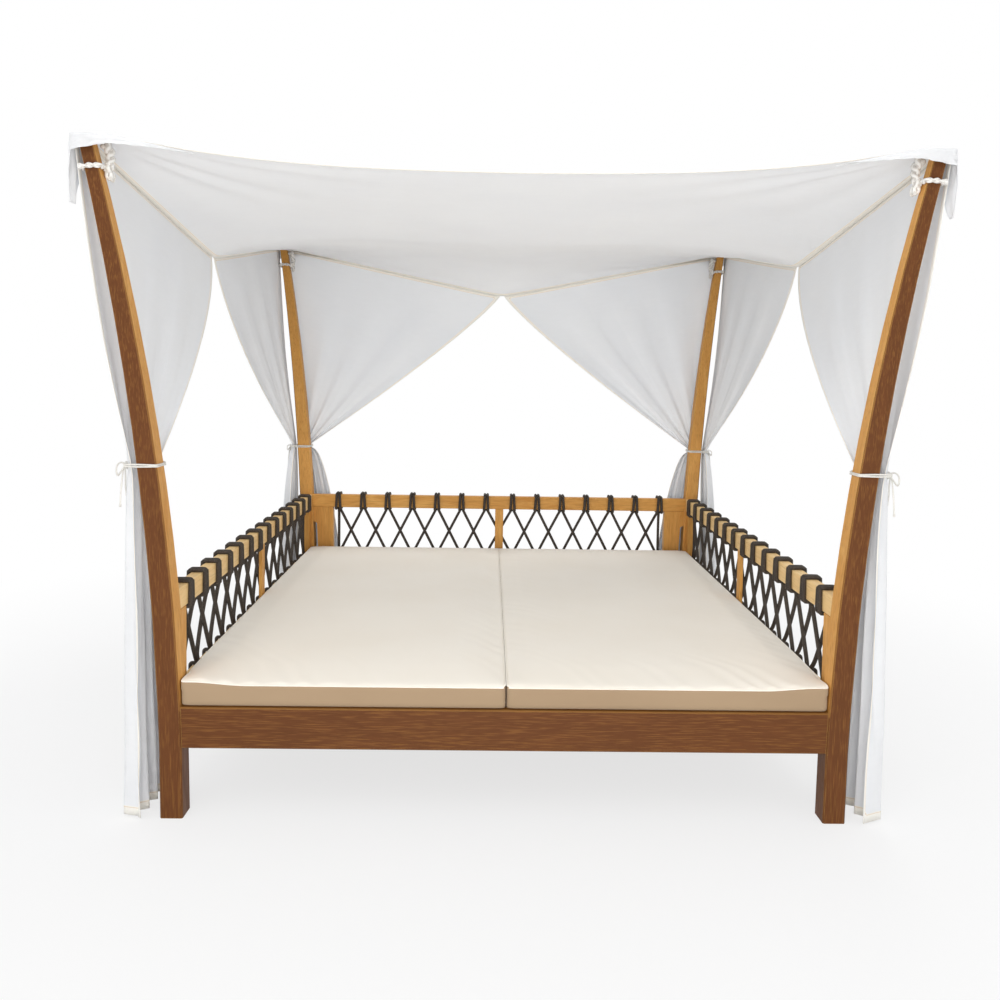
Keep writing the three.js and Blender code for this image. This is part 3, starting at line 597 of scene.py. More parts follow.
def fabric(name, cloth, shade, hem, hem_width, stitch, threads_per_metre, sheen, lets_through=0.0):
    made, tree, skin = painted(name)
    for label, value in {
        "Specular IOR Level": 0.2, "Sheen Weight": sheen, "Sheen Roughness": 0.5,
        "Subsurface Weight": lets_through, "Subsurface Radius": (1, 1, 1), "Subsurface Scale": 0.004,
    }.items():
        skin[label].default_value = value
    places = node(tree, "TexCoord").outputs
    pattern = node(tree, "Group", {
        "Vector": places["UV"], "Threads per metre": threads_per_metre,
    }, node_tree=weave).outputs
    clouds = node(tree, "TexNoise", {"Vector": places["Object"], "Scale": 2.4, "Detail": 4})
    to_hem = node(tree, "Attribute", attribute_name="hem").outputs["Fac"]
    band = node(tree, "MapRange", {
        "Value": to_hem, "From Min": hem_width * 0.94, "From Max": hem_width * 1.06,
        "To Min": 0.8, "To Max": 0.0,
    })
    seam = calc(tree, "COMPARE", to_hem, hem_width * 0.88, 0.0011)
    colour = mixed(tree, ramp(tree, [(0.35, 0.0), (0.7, 0.5)], clouds), cloth, shade)
    colour = mixed(tree, (pattern["Slubs"], 0.12), colour, times(shade, 0.8))
    colour = mixed(tree, band, colour, hem)
    colour = mixed(tree, (seam, 0.55), colour, stitch)
    height = calc(tree, "ADD", pattern["Height"], band)
    finish(tree, skin, colour, pattern["Slubs"], (0.78, 0.95), height, 0.35, 0.0004)
    return made


# The hem colour has a warmer tone of its own, and is lighter than the cloth as painted light shining through
# the hem.
sailcloth = fabric(
    "white_sailcloth", srgb(238, 240, 243), srgb(229, 231, 236), srgb(255, 244, 229), 0.022,
    srgb(214, 190, 162), 700, 0.15, 0.9,
)
print("sailcloth ready")

# %% [markdown]
# A hung cloth is a flat grid that is moved to where the cloth hangs, point by point. A function says where
# each share of the width and the length goes, and the Solidify modifier gives the cloth its thickness.

# %% Helpers for cloth
CLOTH = 0.0016


def applied(piece, name, kind, **settings):
    """Adds a modifier with its settings to the active piece and applies it."""
    modifier = piece.modifiers.new(name, kind)
    for key, value in settings.items():
        setattr(modifier, key, value)
    bpy.ops.object.modifier_apply(modifier=name)


def hung_cloth(name, columns, rows, place, width, length, hem_at):
    bpy.ops.object.select_all(action="DESELECT")
    bpy.ops.mesh.primitive_grid_add(x_subdivisions=columns, y_subdivisions=rows, size=2)
    piece = bpy.context.object
    piece.name = name
    mesh = piece.data
    mesh.name = name
    hem = mesh.attributes.new("hem", "FLOAT", "POINT")
    for vertex in mesh.vertices:
        u, v = (vertex.co.x + 1) / 2, (vertex.co.y + 1) / 2
        hem.data[vertex.index].value = hem_at(u, v)
        vertex.co = place(u, v)
    for corner in mesh.uv_layers.active.data:
        corner.uv = (corner.uv[0] * width, corner.uv[1] * length)
    mesh.materials.append(sailcloth)
    bpy.ops.object.shade_smooth()
    applied(piece, "wall", "SOLIDIFY", thickness=CLOTH, offset=0)
    return piece


def ripple(x, y, z):
    """A smooth noise, between about -1 and 1."""
    return noise.noise(Vector((x, y, z)))


def lerp(a, b, share):
    return a + (b - a) * share


print("cloth helpers ready")

# %% [markdown]
# The canopy is one square of cloth held at the four post tips. The curtains pull its side and back edges
# down in their middles, most at the back, while the front edge hangs in a shallow curve. The same laws
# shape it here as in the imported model, with soft creases that run in from the corners.

# %% Canopy laws
HALF_X, HALF_Y, TIP_Z = 1.245, 1.221, 2.0419
PATCH = 0.100
SIDE_DRAW, END_DRAW = 0.008, 0.030
FRONT_SAG, SIDE_SAG, BACK_SAG = 0.080, 0.187, 0.234
SAG_ROUND, MIDDLE_SHARE, MIDDLE_POWER = 0.04, 0.35, 4
FLAT_X, FLAT_Y = 1 - PATCH / HALF_X, 1 - PATCH / HALF_Y


def edge_dip(share, flat_share):
    """1 in the middle of an edge and 0 on the flat patch at a post tip."""
    along = min(abs(share) / flat_share, 1)
    return 1 - (math.hypot(along, SAG_ROUND) - SAG_ROUND) / (math.hypot(1, SAG_ROUND) - SAG_ROUND)


def canopy_point(u, v):
    """The canopy's middle surface. u runs from left (-1) to right (1), v from front (-1) to back (1)."""
    def to_middle(share):
        return MIDDLE_SHARE + (1 - MIDDLE_SHARE) * share ** MIDDLE_POWER
    front = FRONT_SAG * (1 - min(abs(u) / FLAT_X, 1) ** 3) * (1 - v) / 2 * to_middle(v)
    back = BACK_SAG * edge_dip(u, FLAT_X) * (1 + v) / 2 * to_middle(v)
    sides = SIDE_SAG * edge_dip(v, FLAT_Y) * to_middle(u)
    return Vector((
        u * (HALF_X - SIDE_DRAW * edge_dip(v, FLAT_Y)),
        v * (HALF_Y - END_DRAW * edge_dip(u, FLAT_X)),
        TIP_Z - front - back - sides,
    ))


RAY_FOLD, WAVE, CREASE_FREE = 0.0045, 0.006, 0.12


def canopy_creases(u, v):
    """Small folds: rays from each corner, and broad soft waves between them."""
    height = 0.0
    for corner_x in (-1, 1):
        for corner_y in (-1, 1):
            dx, dy = (corner_x - u) * HALF_X, (corner_y - v) * HALF_Y
            far = math.hypot(dx, dy)
            turn = math.atan2(abs(dy), abs(dx) + 1e-6)
            fade = math.exp(-((far - 0.45) / 0.38) ** 2)
            wobble = ripple(corner_x * 3, corner_y * 5, turn * 2.0)
            height += RAY_FOLD * fade * math.sin(turn * 17 + 2 * wobble)
    flow = Vector((u * 0.9 + v * 0.5, v * 3.1 - u * 1.3, 0.4))
    height += WAVE * noise.noise(flow * 1.3)
    inside = min(1, (1 - abs(u)) / CREASE_FREE) * min(1, (1 - abs(v)) / CREASE_FREE)
    return height * inside


def canopy_place(u, v):
    u, v = 2 * u - 1, 2 * v - 1
    point = canopy_point(u, v)
    point.z += canopy_creases(u, v)
    return point


canopy_wide, canopy_long = 2.56, 2.54


def canopy_hem(u, v):
    from_side, from_end = min(u, 1 - u), min(v, 1 - v)
    return from_side * canopy_wide if from_side < from_end else from_end * canopy_long


canopy = hung_cloth("canopy_cloth", 120, 120, canopy_place, canopy_wide, canopy_long, canopy_hem)
print("canopy cloth has", len(canopy.data.polygons), "faces")

# %% [markdown]
# At each post tip the cloth is folded over and hangs down outside. The fold is deep on the outer side and
# narrows along the front and back edges. It is a second small sheet that follows the canopy's edge round
# the corner, a little crumpled, and is joined to the canopy.

# %% Folded corners
CAP_FRONT, CAP_SIDE, FLAP_FOOT, FLAP_TALL = 0.34, 0.110, 0.042, 0.19
EDGE_FOLD, THIN_FOLD, CORNER_RUN = 0.047, 0.002, 0.012
CAP_CLEAR, CAP_RISE, THINS_OVER = 0.0018, 0.0012, 0.1


def cap_place(corner_x, corner_y):
    def place(u, v):
        along = -CAP_FRONT + u * (CAP_FRONT + CAP_SIDE)
        if along < 0:
            edge = canopy_point(1 + along / HALF_X, 1)
            depth = THIN_FOLD + (EDGE_FOLD - THIN_FOLD) * (1 + along / CAP_FRONT) ** 1.6
            outwards = Vector((0, 1, 0))
        else:
            edge = canopy_point(1, 1 - along / HALF_Y)
            tall = FLAP_TALL * min(1, (CAP_SIDE - along) / (CAP_SIDE - FLAP_FOOT))
            depth = EDGE_FOLD + (max(tall, 0.004) - EDGE_FOLD) * min(1, along / CORNER_RUN)
            outwards = Vector((1, 0, 0))
        blend = min(max(along / 0.01, -1), 1)
        outwards = Vector((0.5 + blend / 2, 0.5 - blend / 2, 0)).normalized()
        fold = math.sin(along * 150 + 1.2 * corner_x + v) * 0.0028 * v
        bulge = 0.0018 * math.sin(math.pi * min(v * 1.6, 1)) + 0.004 * v * v * (along > 0)
        crumple = 0.003 * ripple(along * 30, v * 4, corner_x + 2 * corner_y)
        thins = min(1, (along + CAP_FRONT) / THINS_OVER)
        point = edge + outwards * (CAP_CLEAR + (bulge + fold + crumple) * thins)
        point.z += CAP_RISE - depth * v
        return Vector((point.x * corner_x, point.y * corner_y, point.z))
    return place


caps = [
    hung_cloth("folded_corner", 56, 18, cap_place(x, y), CAP_FRONT + CAP_SIDE, FLAP_TALL, lambda u, v: 0.1)
    for x in (-1, 1) for y in (-1, 1)
]
for cap in caps:
    cap.select_set(True)
canopy.select_set(True)
bpy.context.view_layer.objects.active = canopy
bpy.ops.object.join()
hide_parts("canopy")
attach(canopy, "root")
print("four folded corners joined to the canopy")

# %% [markdown]
# Each curtain hangs from half of a canopy edge. It is gathered to a tie on the post, so its free edge sweeps
# across in a curve, and it spreads again below the tie. One function shapes all six. It works in the frame
# of the back right corner: across runs along the canopy edge and out runs away from the bed.

# %% Curtain laws
POST_TOP, HALF_BED, POST_FOOT, POST_THINS = 2.040, 1.065, 0.070, 0.033
RAIL_TOP = 0.705
POST_LEVELS = [0, 0.222, 0.350, 0.637, RAIL_TOP]
POST_LEVELS += [RAIL_TOP + (POST_TOP - RAIL_TOP) * (k + 1) / 8 for k in range(8)]
LEAN_X, LEAN_Y = 0.166, 0.142
FRONT_TIE, BACK_TIE = 1.100, 0.966
NECK = 0.0085
BUNDLE_OUT = 0.023
HEM_Z = 0.006


def on_post(law, z):
    """The value of a law on the post's own facets."""
    k = 1
    while k < len(POST_LEVELS) - 1 and POST_LEVELS[k] < z:
        k += 1
    low, high = POST_LEVELS[k - 1], POST_LEVELS[k]
    share = (z - low) / (high - low)
    return law(low) * (1 - share) + law(high) * share


def post_out(z, lean):
    return on_post(lambda level: HALF_BED + lean * (level / POST_TOP) ** 2, z)


def post_in(z, lean):
    return post_out(z, lean) - on_post(lambda level: POST_FOOT - POST_THINS * (level / POST_TOP) ** 2, z)


def post_middle(z, lean):
    return (post_in(z, lean) + post_out(z, lean)) / 2


ABOVE, BELOW = 0.56, 0.585
BUNDLE_WIDE, BUNDLE_DEEP, WRAP_REACH = 0.052, 0.026, 0.064
EDGE_CLEAR, EDGE_DROP, MIDDLE_GAP = 0.003, 0.0015, 0.012
BACK_SWEEP, FRONT_SIDE_SWEEP, BACK_SIDE_SWEEP = 1.15, 1.4, 1.75
SIDE_STANDS_OFF, BACK_STANDS_OFF = 0.028, 0.008
TOP_FOLD, TIE_FOLD, HEM_FOLD = 0.005, 0.013, 0.062
FINE_FOLD, HEM_FINE_FOLD, SOFT_WAVE, HEM_WAVE = 0.0022, 0.006, 0.007, 0.006
HEM_WIDE, SKIRT_IN, SKIRT_OUT = 0.240, 0.076, 0.014
MAIN_FOLDS, FINE_FOLDS, DRIFT = 4, 61, 0.03


def gathered(along, z, out_lean, across_lean, wraps):
    """The cloth at the tie: its place across and out, and how far it has turned round behind the post."""
    start = post_middle(z, across_lean) + BUNDLE_WIDE / 2
    out = post_out(z, out_lean) + BUNDLE_OUT
    if not wraps:
        return start - BUNDLE_WIDE * along, out, 0.0
    corner = post_in(z, across_lean) - BUNDLE_OUT
    run = along * (start - corner + WRAP_REACH)
    past = run - (start - corner)
    return max(start - run, corner), out - max(past, 0), min(max(past / BUNDLE_DEEP + 0.5, 0), 1)


def curtain_place(tie, on_side, corner_x, corner_y, seed):
    out_lean, across_lean = (LEAN_X, LEAN_Y) if on_side else (LEAN_Y, LEAN_X)
    half = HALF_Y if on_side else HALF_X
    start = (HALF_BED + across_lean - EDGE_CLEAR) / half
    end = MIDDLE_GAP / half
    wraps = corner_y < 0
    power = BACK_SWEEP if not on_side else FRONT_SIDE_SWEEP if wraps else BACK_SIDE_SWEEP
    stands_off = SIDE_STANDS_OFF if on_side else BACK_STANDS_OFF

    def place(along, v):
        share = lerp(start, end, along)
        edge = canopy_point(1, share) if on_side else canopy_point(share, 1)
        top_across, top_out = (edge.y, edge.x) if on_side else (edge.x, edge.y)
        top_out, top_z = top_out - EDGE_CLEAR, edge.z - EDGE_DROP
        if v < ABOVE:
            fall = v / ABOVE
            z = lerp(top_z, tie + NECK, fall)
            sweep_share = lerp(fall, fall ** power, along)
            end_across, end_out, turn = gathered(along, tie, out_lean, across_lean, wraps)
            side_place = lerp(top_across, end_across, sweep_share)
            off_top, off_tie = top_out - post_out(top_z, out_lean), end_out - post_out(tie, out_lean)
            out = post_out(z, out_lean) + lerp(off_top, off_tie, sweep_share)
            out += stands_off * math.sin(math.pi * fall) * (1 - along) ** 3
            turn *= fall
            depth = lerp(TOP_FOLD * min(1, fall / 0.3), TIE_FOLD, fall)
            fine = FINE_FOLD * fall ** 2
            soft = SOFT_WAVE * math.sin(math.pi * fall) * min(1, along * 4) * min(1, (1 - along) * 6 + 0.3)
        elif v < BELOW:
            share = (v - ABOVE) / (BELOW - ABOVE)
            z = lerp(tie + NECK, tie - NECK, share)
            side_place, out, turn = gathered(along, z, out_lean, across_lean, wraps)
            depth, fine, soft = TIE_FOLD * (1 - 0.25 * math.sin(math.pi * share)), FINE_FOLD, 0
        else:
            fall = (v - BELOW) / (1 - BELOW)
            z = lerp(tie - NECK, HEM_Z, fall)
            opened = math.sqrt(fall)
            from_across, from_out, turn = gathered(along, tie - NECK, out_lean, across_lean, wraps)
            hem_across = post_middle(HEM_Z, across_lean) - HEM_WIDE * (along - 0.5) - SKIRT_IN
            side_place = lerp(from_across, hem_across, opened)
            out = lerp(from_out, post_out(tie, out_lean) + BUNDLE_OUT + SKIRT_OUT, opened)
            turn *= 1 - opened
            depth = lerp(TIE_FOLD, HEM_FOLD, opened)
            fine = lerp(FINE_FOLD, HEM_FINE_FOLD, opened)
            soft = HEM_WAVE * opened
        drift = 0.5 * ripple(along * 1.7, z * 0.8, seed)
        bend = -math.cos(math.pi * 2 * MAIN_FOLDS * (along + DRIFT * drift * min(1, v * 3) * (1 - v)))
        fold = math.copysign(abs(bend) ** 0.8, bend) * depth / 2
        fold += fine * math.sin(along * FINE_FOLDS + 4 * ripple(along * 3, z * 2, seed + 3))
        fold += soft * ripple(along * 4.3, z * 1.3 + along * 2, seed + 9)
        fold /= math.hypot(turn, 1 - turn)
        side_place -= fold * turn
        out += fold * (1 - turn)
        x, y = (out, side_place) if on_side else (side_place, out)
        return Vector((x * corner_x, y * corner_y, z))
    return place


print("curtain laws ready")

# %% [markdown]
# Each corner at the back carries a side curtain and a back curtain, and each corner in front a side curtain.
# A curtain is cut narrower towards its hem, so its cloth is less than its longest width times its length.

# %% Curtains
curtain_wide, curtain_long = 1.30, 2.06
corner_names = {(-1, -1): "front_left", (1, -1): "front_right", (-1, 1): "back_left", (1, 1): "back_right"}


def curtain_hem(along, v):
    sides = min(along, 1 - along) * curtain_wide
    return min(sides, v * curtain_long + 0.004, (1 - v) * curtain_long)


def curtain(name, node_name, tie, on_side, corner, seed):
    place = curtain_place(tie, on_side, *corner, seed)
    piece = hung_cloth(name, 112, 130, place, curtain_wide, curtain_long, curtain_hem)
    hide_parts(node_name)
    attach(piece, "root")


for seed, (corner, corner_name) in enumerate(corner_names.items()):
    tie = BACK_TIE if corner[1] > 0 else FRONT_TIE
    curtain("side_curtain_" + corner_name, "curtain_side_" + corner_name, tie, True, corner, seed * 7.3)
    if corner[1] > 0:
        curtain("back_curtain_" + corner_name, "curtain_" + corner_name, tie, False, corner, seed * 5.1 + 40)
print("six curtains hung")

# %% [markdown]
# The mattress lies in two halves. Each is a boxed cushion: a top and a bottom panel joined by a border, with
# a thin welt sewn into both seams. It starts as a block that is subdivided and shaped with a crowned top and
# sides that draw in at the seams. A cloth simulation with air pressure inside then swells it a little, so
# the panels round out between their seams, and the movement is capped to keep it in its place. Last, the
# filling lifts the cover above the rails, its front is laid over the front board between the posts, its outer
# side lips out a little, and the two halves are pressed together along their split.

# %% Mattress cover
def cover_cloth(name, cloth, shade, stitch):
    return fabric(name, cloth, shade, srgb(222, 204, 176), 0.002, stitch, 900, 0.1)


ticking = cover_cloth("cream_ticking", srgb(252, 246, 235), srgb(246, 238, 224), srgb(190, 168, 140))
# The border's darker cream is painted shade, for the upright faces that turn away from the light.
shaded_border_cloth = cover_cloth("cream_border_painted_shade", srgb(168, 144, 116), srgb(154, 130, 103), srgb(160, 136, 108))
CROWN, DRAW = 0.009, 0.006
VOXEL, PRESSURE, SWELL_CAP, SWELL_FRAMES = 0.014, 4, 0.006, 20
SIDE_LIP, FRONT_LIP, TOP_LIFT, POST_SIDE = 0.0135, 0.076, 0.020, 0.9985
SPLIT_HALF, SPLIT_SIDE, SPLIT_ROUND = 0.0008, 0.0029, 0.032
CORNER_LIFT, PUCKER, UNEVEN = 0.010, 0.0028, 0.0035
SEAM_GAP, PULLED_IN, WELT = 0.004, 0.002, 0.0026
SEWN_IN, SEWN_UP, RESTS_UP, PUCKER_UP = 0.014, 0.012, 0.006, 0.008
PUCKER_RUN, CORNER_RUNS, WAVES = 0.07, 0.18, 74
BORDER_TALL, PIPED_LOW = 0.020, 0.010
BOARD_TOP, LIP_FROM = 0.3515, 0.385  # the front board's top edge and where the side lips begin


def pressed(piece, keep_still):
    """Swells a closed mesh with the Cloth modifier, holding some points, and caps how far the rest move."""
    held = piece.vertex_groups.new(name="held")
    held.add(keep_still, 1.0, "REPLACE")
    cloth = piece.modifiers.new("air", "CLOTH")
    for key, value in {
        "quality": 4, "mass": 0.3, "tension_stiffness": 25, "bending_stiffness": 1.5,
        "use_pressure": True, "uniform_pressure_force": PRESSURE, "vertex_group_mass": "held",
    }.items():
        setattr(cloth.settings, key, value)
    cloth.settings.effector_weights.gravity = 0
    cloth.collision_settings.use_collision = False
    before = [vertex.co.copy() for vertex in piece.data.vertices]
    for number in range(1, SWELL_FRAMES + 1):
        scene.frame_set(number)
    bpy.ops.object.modifier_apply(modifier="air")
    scene.frame_set(1)
    furthest = 0.0
    for vertex, start in zip(piece.data.vertices, before):
        move = vertex.co - start
        if move.length > SWELL_CAP:
            move *= SWELL_CAP / move.length
        furthest = max(furthest, move.length)
        vertex.co = start + move
    return furthest


def ease(value, start, end):
    """0 before the start, 1 after the end and a smooth rise between them."""
    share = min(max((value - start) / (end - start), 0), 1)
    return share * share * (3 - 2 * share)


def lift(point):
    """How much the filling raises the cover, least along the front edge."""
    high_up = ease(point.z, 0.36, 0.405)
    at_corner = ease(abs(point.x), 0.80, 0.97) * ease(-point.y, 0.93, 0.99)
    return high_up * (TOP_LIFT * (0.7 + 0.3 * ease(point.y, -1.0, -0.72)) + CORNER_LIFT * at_corner)


def spread(point):
    """The cover above the rails: its front lies on the front board, between the posts, its sides lip out."""
    side = math.copysign(1, point.x)
    reach = abs(point.x)
    if reach < SPLIT_ROUND:
        from_split = max(reach - 0.002, 0) / (SPLIT_ROUND - 0.002)
        reach = lerp(SPLIT_HALF, SPLIT_ROUND, from_split ** 2)
    sideways = ease(reach, 0.95, 0.998) * ease(-point.y, -0.985, -0.955)
    reach += SIDE_LIP * ease(point.z, LIP_FROM, 0.400) * sideways
    forward = FRONT_LIP * ease(point.z, BOARD_TOP, 0.358) * ease(-point.y, 0.90, 0.993)
    by_post = ease(forward - point.y, 0.950, 0.988)
    reach = lerp(reach, min(reach, POST_SIDE), by_post)
    return Vector((side * reach, point.y - forward, point.z + lift(point)))


def welt_path(tree, low, high, z):
    """A path round the border at a height, laid on the cover's surface."""
    bend, outline, path = 0.03, [], []
    left, right, front, back = low.x + bend, high.x - bend, low.y + bend, high.y - bend
    for x, y, start in ((right, back, 0), (left, back, 90), (left, front, 180), (right, front, 270)):
        for k in range(5):
            turn = math.radians(start + 22.5 * k)
            outline.append(Vector((x + math.cos(turn) * bend, y + math.sin(turn) * bend, z)))
    for i, here in enumerate(outline):
        there = outline[(i + 1) % len(outline)]
        steps = max(1, round((there - here).length / 0.025))
        for k in range(steps):
            point = here.lerp(there, k / steps)
            point.z += lift(point)
            found = tree.find_nearest(point)[0]
            if abs(found.x) < 0.012:
                found.x = math.copysign(SPLIT_SIDE, found.x)
            path.append(found)
    return path


def mattress(name, node_name, seed):
    low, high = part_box(node_name)
    centre, half = (low + high) / 2, (high - low) / 2
    bpy.ops.object.select_all(action="DESELECT")
    bpy.ops.mesh.primitive_cube_add(size=2)
    piece = bpy.context.object
    piece.name = name
    bpy.ops.object.mode_set(mode="EDIT")
    bpy.ops.mesh.select_all(action="SELECT")
    bpy.ops.mesh.subdivide(number_cuts=24)
    bpy.ops.object.mode_set(mode="OBJECT")
    for vertex in piece.data.vertices:
        u, v, w = vertex.co
        draw = DRAW * abs(w) ** 3 + PULLED_IN
        draw_x = 0.001 if u * centre.x < 0 else draw
        top = (1 + w) / 2
        dome = CROWN * math.sqrt(max(0, (1 - u ** 4) * (1 - v ** 4))) * top
        vertex.co = Vector((
            centre.x + u * (half.x - draw_x),
            centre.y + v * (half.y - draw),
            low.z + 0.001 + top * (2 * half.z - CROWN - SEAM_GAP) + dome,
        ))
    applied(piece, "even", "REMESH", mode="VOXEL", voxel_size=VOXEL)
    moved = 0.0
    seam_top, seam_low = high.z - CROWN - SEAM_GAP, low.z
    resting = [v.index for v in piece.data.vertices if v.co.z < low.z + RESTS_UP]
    sewn = [
        v.index for v in piece.data.vertices
        if min(half.x - abs(v.co.x - centre.x), half.y - abs(v.co.y - centre.y)) < SEWN_IN
        and min(abs(v.co.z - seam_top), abs(v.co.z - seam_low)) < SEWN_UP
    ]
    moved = pressed(piece, sorted({*resting, *sewn}))
    applied(piece, "fine", "SUBSURF", levels=1, render_levels=1)
    shape = bmesh.new()
    shape.from_mesh(piece.data)
    seam = high.z - CROWN
    for vertex in shape.verts:
        point = vertex.co
        edge = min(half.x - abs(point.x - centre.x), half.y - abs(point.y - centre.y))
        along = point.x + point.y
        if point.z > seam - PUCKER_UP:
            pucker = math.exp(-edge / PUCKER_RUN) * (0.35 + 0.65 * ripple(along * 2.1, seed, 0))
            from_corner = math.hypot(0.99 - abs(point.x), 0.99 + point.y)
            deep = PUCKER * (1 + 1.8 * math.exp(-from_corner / CORNER_RUNS))
            point.z += deep * pucker * math.sin(along * WAVES + 5 * ripple(along * 6, 0, seed))
            slow = Vector((point.x * 2.2 + point.y * 0.7, point.y * 1.3 - point.x * 0.6, seed))
            point.z += UNEVEN * noise.noise(slow) * min(1, edge / 0.12)
        vertex.co = spread(point)
    shape.normal_update()
    for face in shape.faces:
        middle = face.calc_center_median()
        seam_here = seam + lift(Vector((middle.x, middle.y, seam)))
        below = seam_here - middle.z
        # Faces of the border take the second material, the border's painted shade.
        if below > BORDER_TALL or below > 0 and abs(face.normal.z) < 0.6:
            face.material_index = 1
    surface = BVHTree.FromBMesh(shape)
    wide_low = low - Vector((SIDE_LIP * (low.x < -0.9), FRONT_LIP, 0))
    wide_high = high + Vector((SIDE_LIP * (high.x > 0.9), 0, 0))
    sweep(shape, welt_path(surface, wide_low, wide_high, seam), WELT, sides=8, closed=True)
    sweep(shape, welt_path(surface, low, high, low.z + PIPED_LOW), WELT, sides=8, closed=True)
    shape.to_mesh(piece.data)
    shape.free()
    piece.data.materials.append(ticking)
    piece.data.materials.append(shaded_border_cloth)
    hem = piece.data.attributes.new("hem", "FLOAT", "POINT")
    hem.data.foreach_set("value", [1.0] * len(piece.data.vertices))
    bpy.ops.object.shade_smooth()
    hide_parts(node_name)
    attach(piece, "root")
    print(name, "moved", round(moved * 1000, 1), "mm and has", len(piece.data.polygons), "faces")


mattress("mattress_half_left", "mattress_left", 3.0)
mattress("mattress_half_right", "mattress_right", 8.0)

# %% [markdown]
# Each gathered curtain is tied to its post by two turns of thin white cord, with a knot, a small bow and
# two tails on the outer side. The cords are swept tubes like the rope. The knot is a true trefoil.

# %% Curtain ties
# The third colour is the painted shade in the cord's hollows.
cord_finish = plaited(
    "white_cord", srgb(242, 240, 234), srgb(228, 224, 214), srgb(206, 200, 190), 620, 0.0004,
)
CORD = 0.0027
BUNDLE_REACH, CORD_CLEAR, KNOT_OUT, SNUG = 0.0325, 0.0006, 0.009, 0.0003
TIE_KNOT, END_KNOT = 0.0021, 0.0012
TIE_TURNS = ((CORD, 0.0006), (-CORD, -0.0008))  # the height of each turn and how much it wanders
BOW = ((0, 0, 0), (0.008, 0.016, 0.006), (0.011, 0.036, 0.002), (0.010, 0.047, -0.012),
       (0.008, 0.041, -0.024), (0.007, 0.020, -0.016), (0.002, 0.003, -0.003))
TAIL = ((0, 0, 0), (0.006, 0.006, -0.012), (0.008, 0.013, -0.045), (0.010, 0.018, -0.080),
        (0.009, 0.024, -0.108))


def round_post(z, grow, bundle_x, bundle_y, bundle_in=0.0, wander=0.0):
    """A closed path round a post and what is tied to it, in the back right corner's frame."""
    low_x, low_y = post_in(z, LEAN_X) - grow, post_in(z, LEAN_Y) - grow
    high_x, high_y = post_out(z, LEAN_X) + grow, post_out(z, LEAN_Y) + grow
    outline = [
        (low_x, low_y), (high_x + bundle_x, low_y - bundle_in), (high_x + bundle_x, high_y),
        (high_x, high_y + bundle_y), (low_x, high_y + bundle_y),
    ]
    if bundle_in > 0:
        outline.insert(1, (high_x + BUNDLE_OUT - WRAP_REACH - 0.003, low_y - bundle_in))
    path = []
    for i, (x, y) in enumerate(outline):
        next_x, next_y = outline[(i + 1) % len(outline)]
        for share in (0.08, 0.36, 0.64, 0.92):
            rise = wander * math.sin(i * 1.9 + share * 3)
            path.append(Vector((lerp(x, next_x, share), lerp(y, next_y, share), z + rise)))
    return path


def trefoil(centre, size, stretch=1.0, steps=42):
    """The closed path of an overhand knot that faces outwards along X."""
    path = []
    for k in range(steps):
        t = 2 * math.pi * k / steps
        path.append(centre + Vector((
            -math.sin(3 * t) * size,
            (math.sin(t) + 2 * math.sin(2 * t)) * size,
            (math.cos(t) - 2 * math.cos(2 * t)) * size * stretch,
        )))
    return path


def corner_piece(shape, corner, name, node_name, material):
    """Turns a shape made for the back right corner into the piece of any corner."""
    for vertex in shape.verts:
        vertex.co.x *= corner[0]
        vertex.co.y *= corner[1]
    piece = finished(shape, name + corner_names[corner], material)
    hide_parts(node_name + corner_names[corner])
    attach(piece, "root")


def tie_piece(corner):
    shape = bmesh.new()
    at_back = corner[1] > 0
    z = BACK_TIE if at_back else FRONT_TIE
    bundle_y, bundle_in = (BUNDLE_REACH, 0.0) if at_back else (SNUG, BUNDLE_REACH)
    for offset, wander in TIE_TURNS:
        loop = round_post(z + offset, CORD + CORD_CLEAR, BUNDLE_REACH, bundle_y, bundle_in, wander)
        sweep(shape, loop, CORD, 3, sides=8, closed=True)
    knot = Vector((post_out(z, LEAN_X) + BUNDLE_REACH + KNOT_OUT, post_middle(z, LEAN_Y), z))
    sweep(shape, trefoil(knot, TIE_KNOT), CORD, sides=8, closed=True)
    for side in (-1, 1):
        for run, uneven in ((BOW, 0.2), (TAIL, 0.12)):
            route = [knot + Vector((x, y * side, dz * (1 + uneven * side))) for x, y, dz in run]
            sweep(shape, route, CORD * 0.95, 5, sides=8)
        sweep(shape, trefoil(route[-1], END_KNOT, steps=24), CORD * 0.8, sides=6, closed=True)
    corner_piece(shape, corner, "cord_tie_", "tie_", cord_finish)


for corner in corner_names:
    tie_piece(corner)
print("four curtain ties")
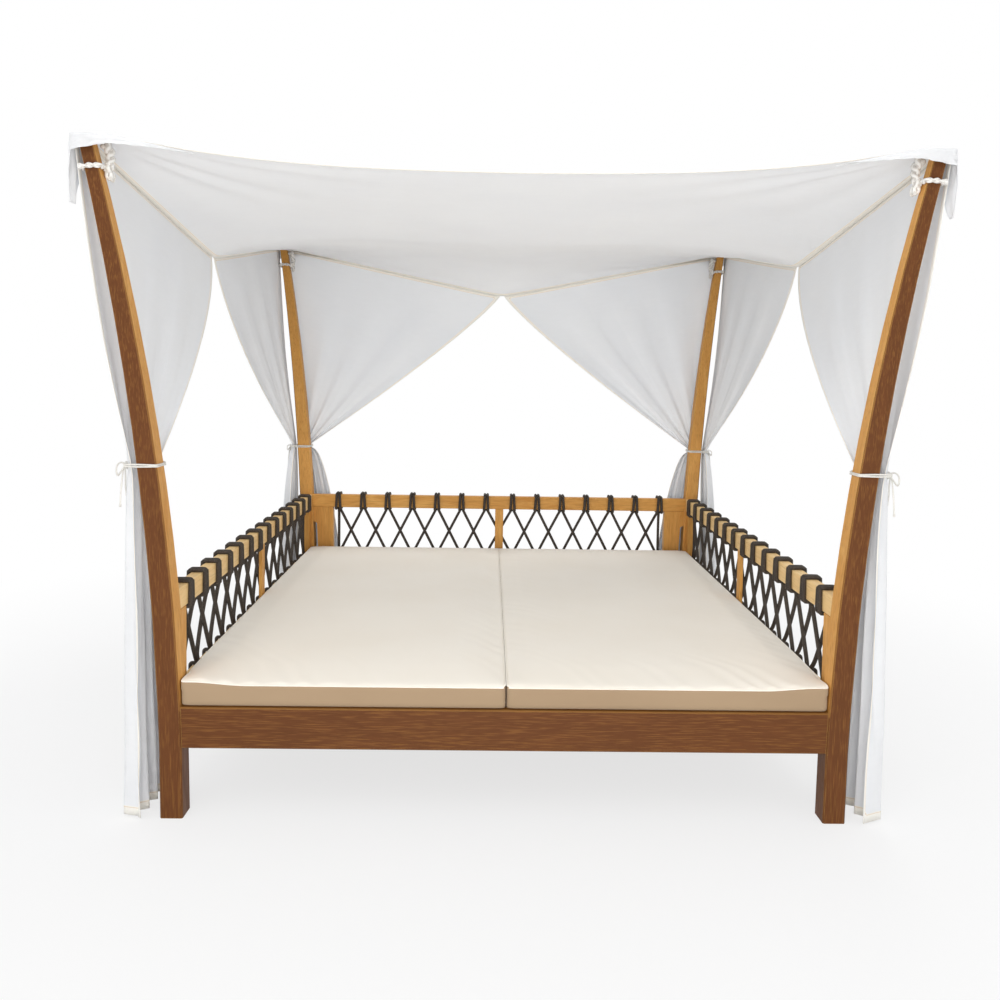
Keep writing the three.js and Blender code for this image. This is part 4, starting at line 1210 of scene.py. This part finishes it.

# %% [markdown]
# The canopy's corners are held by a strip of the same cloth, twisted into a strap round each post tip. It
# ends in a roll that runs up to the canopy and a knot on the inner side of the post. A twisted strip is two
# soft strands wound round each other along the path.

# %% Corner straps
# The third colour is the painted shade in the strap's hollows.
strap_finish = plaited(
    "twisted_strap", srgb(238, 236, 232), srgb(220, 216, 208), srgb(202, 196, 188), 90, 0.0008,
)
STRAP_Z, STRAP_CLEAR, STRAP_WANDER = 1.956, 0.0078, 0.003
RING, RING_PITCH, ROLL, ROLL_PITCH = 0.0066, 0.042, 0.0118, 0.044
KNOT_CORD, KNOT_SIZE, KNOT_IN, KNOT_LOW = 0.0062, 0.0048, 0.017, 0.004
ROLL_ROUTE = ((0, 0, 0), (-0.004, 0.002, 0.024), (-0.001, -0.004, 0.050), (0.010, 0.002, 0.074))
END_ROUTE = ((0, 0, 0), (-0.008, 0.007, -0.012), (-0.006, 0.009, -0.028))


def twisted(shape, path, radius, pitch, closed=False, taper=lambda share: 1):
    """Two soft strands wound round each other along a path."""
    lengths = run_lengths(path)
    whole = lengths[-1] + ((path[0] - path[-1]).length if closed else 0)
    turns = round(whole / pitch) if closed else whole / pitch
    for start in (0, math.pi):
        strand_path = []
        for i, (along, side) in enumerate(frames(path, closed, Vector((0.3, 0.2, 1)))):
            turn = start + 2 * math.pi * turns * lengths[i] / whole
            size = radius * taper(i / (len(path) - 1))
            outwards = side * math.cos(turn) + along.cross(side) * math.sin(turn)
            strand_path.append(path[i] + outwards * size * 0.55)
        sweep(shape, strand_path, lambda share: radius * 0.66 * taper(share), closed=closed)


def strap_piece(corner):
    shape = bmesh.new()
    ring = round_post(STRAP_Z, STRAP_CLEAR, SNUG, SNUG, wander=STRAP_WANDER)
    twisted(shape, smooth_path(ring, 5, closed=True), RING, RING_PITCH, closed=True)
    inner_x, inner_y = post_in(STRAP_Z, LEAN_X), post_in(STRAP_Z, LEAN_Y)
    knot = Vector((inner_x - KNOT_IN, inner_y + KNOT_LOW, STRAP_Z - KNOT_LOW))
    sweep(shape, trefoil(knot, KNOT_SIZE, 1.5, 30), KNOT_CORD, 2, closed=True)
    roll = [knot + Vector(step) for step in ROLL_ROUTE]
    twisted(shape, smooth_path(roll, 10), ROLL, ROLL_PITCH, taper=lambda share: 0.8 + 0.35 * share)
    for side in (-1, 1):
        end = [knot + Vector((x, y * side, z)) for x, y, z in END_ROUTE]
        sweep(shape, end, lambda share: 0.0075 - 0.002 * share, 6, flat=0.7)
    corner_piece(shape, corner, "twisted_strap_", "corner_strap_", strap_finish)


for corner in corner_names:
    strap_piece(corner)
print("four corner straps")
